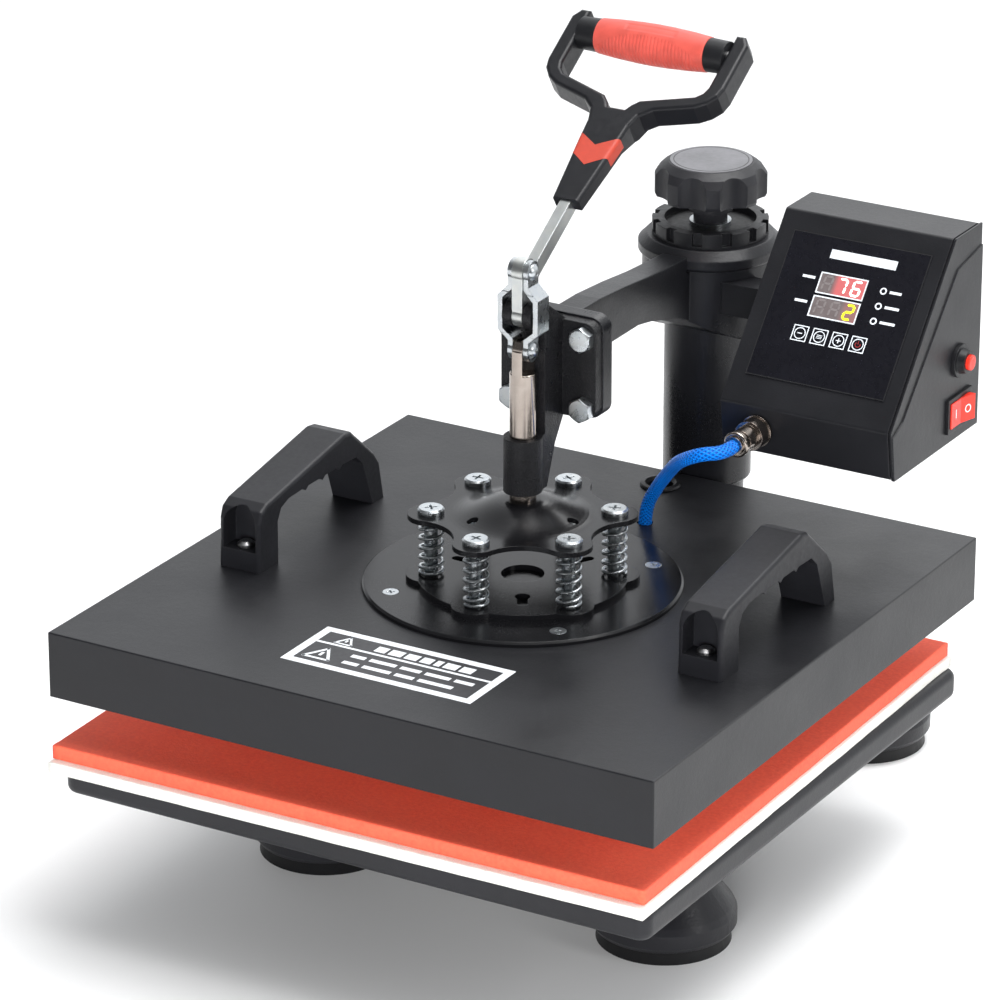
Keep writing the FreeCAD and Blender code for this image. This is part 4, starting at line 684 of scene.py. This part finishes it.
def smooth_route(route):
    """Points read from the NURBS spline that has the route's points as its control points."""
    curve = bpy.data.curves.new("route", "CURVE")
    curve.dimensions = "3D"
    spline = curve.splines.new("NURBS")
    spline.points.add(len(route) - 1)
    for point, place in zip(spline.points, route):
        point.co = (*at(*place), 1)
    spline.order_u = 3
    spline.use_endpoint_u = True
    spline.resolution_u = 24
    holder = add_object("route", curve)
    bpy.context.view_layer.update()
    mesh = bpy.data.meshes.new_from_object(holder.evaluated_get(bpy.context.evaluated_depsgraph_get()))
    points = [v.co.copy() for v in mesh.vertices]
    bpy.data.objects.remove(holder)
    return points


def heater_lead():
    """The blue sleeved lead, from the plug down into its hole in the cover."""
    line = smooth_route(LEAD_ROUTE)
    around = 28
    points, faces = tube(line, LEAD_RADIUS * MM, around)
    lead = piece_of("blue_lead", points, faces, "sleeve")
    lengths = [0.0]
    for a, b in zip(line, line[1:]):
        lengths.append(lengths[-1] + (b - a).length)
    uv = lead.data.uv_layers.new(name="along")
    for polygon in lead.data.polygons:
        vertices = [lead.data.loops[i].vertex_index for i in polygon.loop_indices]
        seam = any(v % around == around - 1 for v in vertices) and any(v % around == 0 for v in vertices)
        for loop, v in zip(polygon.loop_indices, vertices):
            share = (v % around) / around
            if seam and share == 0:
                share = 1.0
            uv.data[loop].uv = (share, lengths[v // around] / lengths[-1])
    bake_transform(lead)
    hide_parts("heater_lead")


# --------------------------------------------------------------------------------------------------
# Printed marks: thin raised shapes on a flat face
# --------------------------------------------------------------------------------------------------
class Marks:
    """Flat shapes on one face, in millimetres along its right and up directions, gathered into one piece."""

    def __init__(self, origin, right, up, thick=0.1):
        self.origin, self.right, self.up = origin, Vector(right).normalized(), Vector(up).normalized()
        self.out = self.right.cross(self.up)
        self.thick = thick
        self.points, self.faces = [], []

    def spot(self, u, v, height):
        return self.origin + (self.right * u + self.up * v + self.out * height) * MM

    def polygon(self, outline):
        """A convex outline, counter-clockwise."""
        first, count = len(self.points), len(outline)
        self.points += [self.spot(u, v, 0) for u, v in outline]
        self.points += [self.spot(u, v, self.thick) for u, v in outline]
        self.faces.append(tuple(first + i for i in reversed(range(count))))
        self.faces.append(tuple(first + count + i for i in range(count)))
        for i in range(count):
            k = (i + 1) % count
            self.faces.append((first + i, first + k, first + count + k, first + count + i))
        return self

    def bar(self, u0, v0, u1, v1):
        return self.polygon([(u0, v0), (u1, v0), (u1, v1), (u0, v1)])

    def frame(self, u0, v0, u1, v1, line):
        self.bar(u0, v0, u1, v0 + line).bar(u0, v1 - line, u1, v1)
        return self.bar(u0, v0 + line, u0 + line, v1 - line).bar(u1 - line, v0 + line, u1, v1 - line)

    def ring(self, u, v, outer, inner, count=40):
        for i in range(count):
            a, b = 2 * math.pi * i / count, 2 * math.pi * (i + 1) / count
            self.polygon([(u + inner * math.cos(a), v + inner * math.sin(a)),
                          (u + outer * math.cos(a), v + outer * math.sin(a)),
                          (u + outer * math.cos(b), v + outer * math.sin(b)),
                          (u + inner * math.cos(b), v + inner * math.sin(b))])
        return self

    def stroke(self, points, width):
        """Straight strokes with square ends from point to point."""
        for (u0, v0), (u1, v1) in zip(points, points[1:]):
            length = math.hypot(u1 - u0, v1 - v0)
            a, b = (u1 - u0) / length * width / 2, (v1 - v0) / length * width / 2
            self.polygon([(u0 - a + b, v0 - b - a), (u1 + a + b, v1 + b - a),
                          (u1 + a - b, v1 + b + a), (u0 - a - b, v0 - b + a)])
        return self

    def piece(self, name, body, look, material_slot):
        thing = piece_of(name, self.points, self.faces, look, smooth=False)
        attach(thing, body)
        return thing


BOX_CORNER = (88.0, 72.5, 287.5)
BOX_BROW = (149.5, 380.0)
SLOPE = math.atan2(BOX_BROW[1] - BOX_CORNER[2], BOX_BROW[0] - BOX_CORNER[1])
SLOPE_UP = (0, math.cos(SLOPE), math.sin(SLOPE))
SLOPE_OUT = Vector((0, -math.sin(SLOPE), math.cos(SLOPE)))
FILM_TOP, WINDOW_TOP, KEY_TOP = 0.8, 1.3, 1.1
WINDOW_U = (35.5, 65.5)
WINDOW_LOWS = {"upper": 73.0, "lower": 58.5}
WINDOW_HEIGHT = 13.0
KEY_ROW, KEY_FIRST, KEY_PITCH, KEY_HALF = 47.5, 34.7, 12.3, 4.8
SEGMENTS = {
    "0": "abcdef", "2": "abged", "6": "acdefg", "7": "abc", "8": "abcdefg", "A": "abcefg",
}


def slope_marks(height, thick=0.08):
    """Marks on the panel, at a height above the box's sloped face."""
    return Marks(at(*BOX_CORNER) + SLOPE_OUT * height * MM, (1, 0, 0), SLOPE_UP, thick)


def digit(marks, u, v, tall, segments):
    """One seven-segment digit, leaning a little."""
    wide, line, gap = tall * 0.56, tall * 0.15, tall * 0.02
    half = tall / 2
    strokes = {
        "a": ((0, tall), (wide, tall)), "b": ((wide, tall), (wide, half)), "c": ((wide, half), (wide, 0)),
        "d": ((0, 0), (wide, 0)), "e": ((0, half), (0, 0)), "f": ((0, tall), (0, half)), "g": ((0, half), (wide, half)),
    }
    for letter in segments:
        (x0, y0), (x1, y1) = strokes[letter]
        length = math.hypot(x1 - x0, y1 - y0)
        along = ((x1 - x0) / length, (y1 - y0) / length)
        across = (-along[1], along[0])
        outline = []
        for s, t in ((gap, 0), (gap + line / 2, -line / 2), (length - gap - line / 2, -line / 2),
                     (length - gap, 0), (length - gap - line / 2, line / 2), (gap + line / 2, line / 2)):
            x = x0 + along[0] * s + across[0] * t
            y = y0 + along[1] * s + across[1] * t
            outline.append((u + x + 0.09 * y, v + y))
        marks.polygon(outline)


def display_window(name, low, glow_from, glow_colour):
    """The smoked window of one display, lit near its burning digits."""
    u0, u1 = WINDOW_U
    columns, rows = 36, 14
    base = at(*BOX_CORNER) + SLOPE_OUT * (WINDOW_TOP + 0.01) * MM
    up = Vector(SLOPE_UP)
    points, faces = [], []
    for j in range(rows + 1):
        for i in range(columns + 1):
            u = u0 + 0.5 + (u1 - u0 - 1.0) * i / columns
            v = low + 0.5 + (WINDOW_HEIGHT - 1.0) * j / rows
            bulge = 0.06 * math.sin(math.pi * i / columns) * math.sin(math.pi * j / rows)
            points.append(base + Vector((1, 0, 0)) * u * MM + up * v * MM + SLOPE_OUT * bulge * MM)
    for j in range(rows):
        for i in range(columns):
            k = j * (columns + 1) + i
            faces.append((k, k + 1, k + columns + 2, k + columns + 1))
    window = piece_of(name, points, faces, "glass")
    glow = window.data.color_attributes.new("glow", "FLOAT_COLOR", "POINT")
    for k in range(len(points)):
        share = (k % (columns + 1)) / columns
        strength = min(1.0, max(0.0, (share - glow_from) / 0.14)) ** 1.5
        glow.data[k].color = (*[c * strength for c in glow_colour], 1.0)
    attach(window, "arm")


def panel_marks():
    """Displays, lamps, plain bars where the panel has words, and a rim round the panel."""
    tall = 8.6
    starts = [WINDOW_U[0] + 3.0 + 9.2 * i for i in range(3)]
    readings = {"upper": ("A", "7", "6"), "lower": ("A", "A", "2")}
    lit = {"upper": ("segment_white", 1), "lower": ("segment_lime", 2)}
    display_window("display_window_upper", WINDOW_LOWS["upper"], 0.26, (0.62, 0.02, 0.025))
    display_window("display_window_lower", WINDOW_LOWS["lower"], 0.60, (0.20, 0.03, 0.02))
    for name, low in WINDOW_LOWS.items():
        look, first_lit = lit[name]
        frame_line = slope_marks(WINDOW_TOP, 0.18).frame(WINDOW_U[0], low, WINDOW_U[1], low + WINDOW_HEIGHT, 0.75)
        frame_line.piece(f"display_frame_{name}", "arm", "ink", "panel_black")
        for state, numbers in (("off", range(first_lit)), ("lit", range(first_lit, 3))):
            marks = slope_marks(WINDOW_TOP + (0.10 if state == "off" else 0.14), 0.05)
            for i in numbers:
                digit(marks, starts[i], low + 2.2, tall, SEGMENTS[readings[name][i]])
            marks.piece(f"display_digits_{name}_{state}", "arm", "segment_off" if state == "off" else look,
                        "panel_black")
    words = slope_marks(FILM_TOP)
    words.bar(24.5, 81.0, 32.5, 82.6).bar(24.5, 66.0, 32.5, 67.6)
    words.bar(37.0, 95.0, 79.0, 100.5)
    for row, length in zip((81.6, 72.3, 63.0), (7.5, 9.0, 9.5)):
        words.ring(76.0, row, 2.1, 1.25)
        words.bar(80.0, row - 0.8, 80.0 + length, row + 0.8)
    words.piece("panel_print", "arm", "ink", "panel_black")
    slope_marks(FILM_TOP, 0.05).frame(10.0, 18.0, 98.0, 108.0, 0.5).piece("panel_rim", "arm", "dark_ink", "panel_black")


def key_marks():
    """Each key's square outline, ring and sign."""
    for i, body in enumerate(("minus", "mode", "plus", "power")):
        u = KEY_FIRST + KEY_PITCH * i
        marks = slope_marks(KEY_TOP, 0.06)
        marks.frame(u - KEY_HALF, KEY_ROW - KEY_HALF, u + KEY_HALF, KEY_ROW + KEY_HALF, 0.6)
        marks.ring(u, KEY_ROW, 3.6, 3.05)
        if body in ("minus", "plus"):
            marks.bar(u - 1.5, KEY_ROW - 0.3, u + 1.5, KEY_ROW + 0.3)
        if body == "plus":
            marks.bar(u - 0.3, KEY_ROW + 0.3, u + 0.3, KEY_ROW + 1.5)
            marks.bar(u - 0.3, KEY_ROW - 1.5, u + 0.3, KEY_ROW - 0.3)
        if body == "mode":
            for shift in (-0.9, 0.0, 0.9):
                marks.bar(u - 1.7, KEY_ROW + shift - 0.2, u + 1.7, KEY_ROW + shift + 0.2)
        marks.piece(f"key_outline_{body}", body, "ink", "panel_black")
    u = KEY_FIRST + KEY_PITCH * 3
    sign = slope_marks(KEY_TOP, 0.06)
    for j in range(5, 24):
        a, b = (math.radians(90 + 12.9 * k) for k in (j - 1.5, j - 0.5))
        sign.polygon([(u + 1.3 * math.cos(a), KEY_ROW + 1.3 * math.sin(a)),
                      (u + 1.8 * math.cos(a), KEY_ROW + 1.8 * math.sin(a)),
                      (u + 1.8 * math.cos(b), KEY_ROW + 1.8 * math.sin(b)),
                      (u + 1.3 * math.cos(b), KEY_ROW + 1.3 * math.sin(b))])
    sign.bar(u - 0.25, KEY_ROW + 0.2, u + 0.25, KEY_ROW + 2.1)
    sign.piece("key_sign_power", "power", "red_ink", "panel_black")


LABEL_MIDDLE = (-1.5, -135.0)
LABEL_SIZE = (123.0, 50.0)


def triangle(marks, u, v, side, line):
    """A plain triangle outline standing on (u, v)."""
    tall = side * 0.87
    marks.stroke([(u, v), (u + side, v), (u + side / 2, v + tall), (u, v)], line)
    marks.bar(u + side / 2 - line / 2, v + tall * 0.28, u + side / 2 + line / 2, v + tall * 0.62)


def housing_label():
    """A notice on the housing: a pale frame, two triangles, and bars instead of its words."""
    wide, tall = LABEL_SIZE
    surface = top_of("adapter_disc") - 3.0
    origin = at(LABEL_MIDDLE[0] - wide / 2, LABEL_MIDDLE[1] - tall / 2, surface + 0.01)
    ground = Marks(origin, (1, 0, 0), (0, 1, 0), 0.08).bar(0.5, 0.5, wide - 0.5, tall - 0.5)
    ground.piece("label_ground", "platen", "label_ground", "satin_black")
    marks = Marks(origin, (1, 0, 0), (0, 1, 0), 0.16)
    marks.frame(0, 0, wide, tall, 5.0)
    marks.bar(5.0, 29.5, wide - 5.0, 31.5)
    triangle(marks, 15.0, 33.5, 10.5, 1.3)
    triangle(marks, 9.0, 10.0, 16.0, 1.8)
    cursor = 40.0
    for length in (7.0, 8.5, 8.0, 7.0, 4.0, 8.5, 8.0):
        marks.bar(cursor, 34.0, cursor + length, 41.0)
        cursor += length + 2.0
    for row, lengths in ((20.5, (9, 17, 13, 16, 12)), (11.0, (10, 18, 12, 22))):
        cursor = 33.0
        for length in lengths:
            marks.bar(cursor, row, cursor + length, row + 3.6)
            cursor += length + 3.0
    marks.piece("label_print", "platen", "label", "satin_black")


ROCKER_PLACE = (197.9, 156.0, 274.5)
ROCKER_TILT = math.radians(-8)


def rocker_marks():
    """A dash and a ring on the rocker's two faces."""
    turn = Matrix.Rotation(ROCKER_TILT, 3, "Z")
    for name, end in (("on", -1), ("off", 1)):
        near, far = Vector((2.0, 0, 0)), Vector((3.8, 12.0 * end, 0))
        middle = turn @ ((near + far) / 2)
        along = turn @ (far - near).normalized() * end
        out = along.cross(Vector((0, 0, 1)))
        place = at(*(Vector(ROCKER_PLACE) + middle + out * 0.01))
        marks = Marks(place, along, (0, 0, 1), 0.08)
        if name == "on":
            marks.bar(-0.4, -2.6, 0.4, 2.6)
        else:
            marks.ring(0, 0, 2.5, 1.8)
        marks.piece(f"rocker_mark_{name}", "rocker", "label", "switch_red")


def knob_ring():
    """A fine dark ring round the knob's insert."""
    middle = at(0, 221.5, top_of("knob_insert") + 0.005)
    Marks(middle, (1, 0, 0), (0, 1, 0), 0.05).ring(0, 0, 22.6, 22.0, 72).piece(
        "knob_ring", "knob", "dark_ink", "insert_grey")


def make_floor():
    size = 6.0
    points = [(-size, -size, 0), (size, -size, 0), (size, size, 0), (-size, size, 0)]
    floor = piece_of("floor", points, [(0, 1, 2, 3)], "floor")


make_camera()
make_world()
softbox("lamp_top", 130, 76, 2.4, 1.7, 72)
softbox("lamp_front", 24, 4, 2.8, 1.2, 110).visible_glossy = False
softbox("lamp_right", 85, 24, 2.8, 0.9, 12)
softbox("lamp_back", 188, 42, 3.0, 1.6, 20)
finish_nodes()
heater_lead()
soft_pad("felt_pad", "felt_sheet", "felt", 0.0008, 0.5)
soft_pad("silicone_pad", "sponge_sheet", "sponge", 0.0009, 0.35)
ribbed_grip()
chevron_band()
compression_springs()
panel_marks()
key_marks()
housing_label()
rocker_marks()
knob_ring()
make_floor()
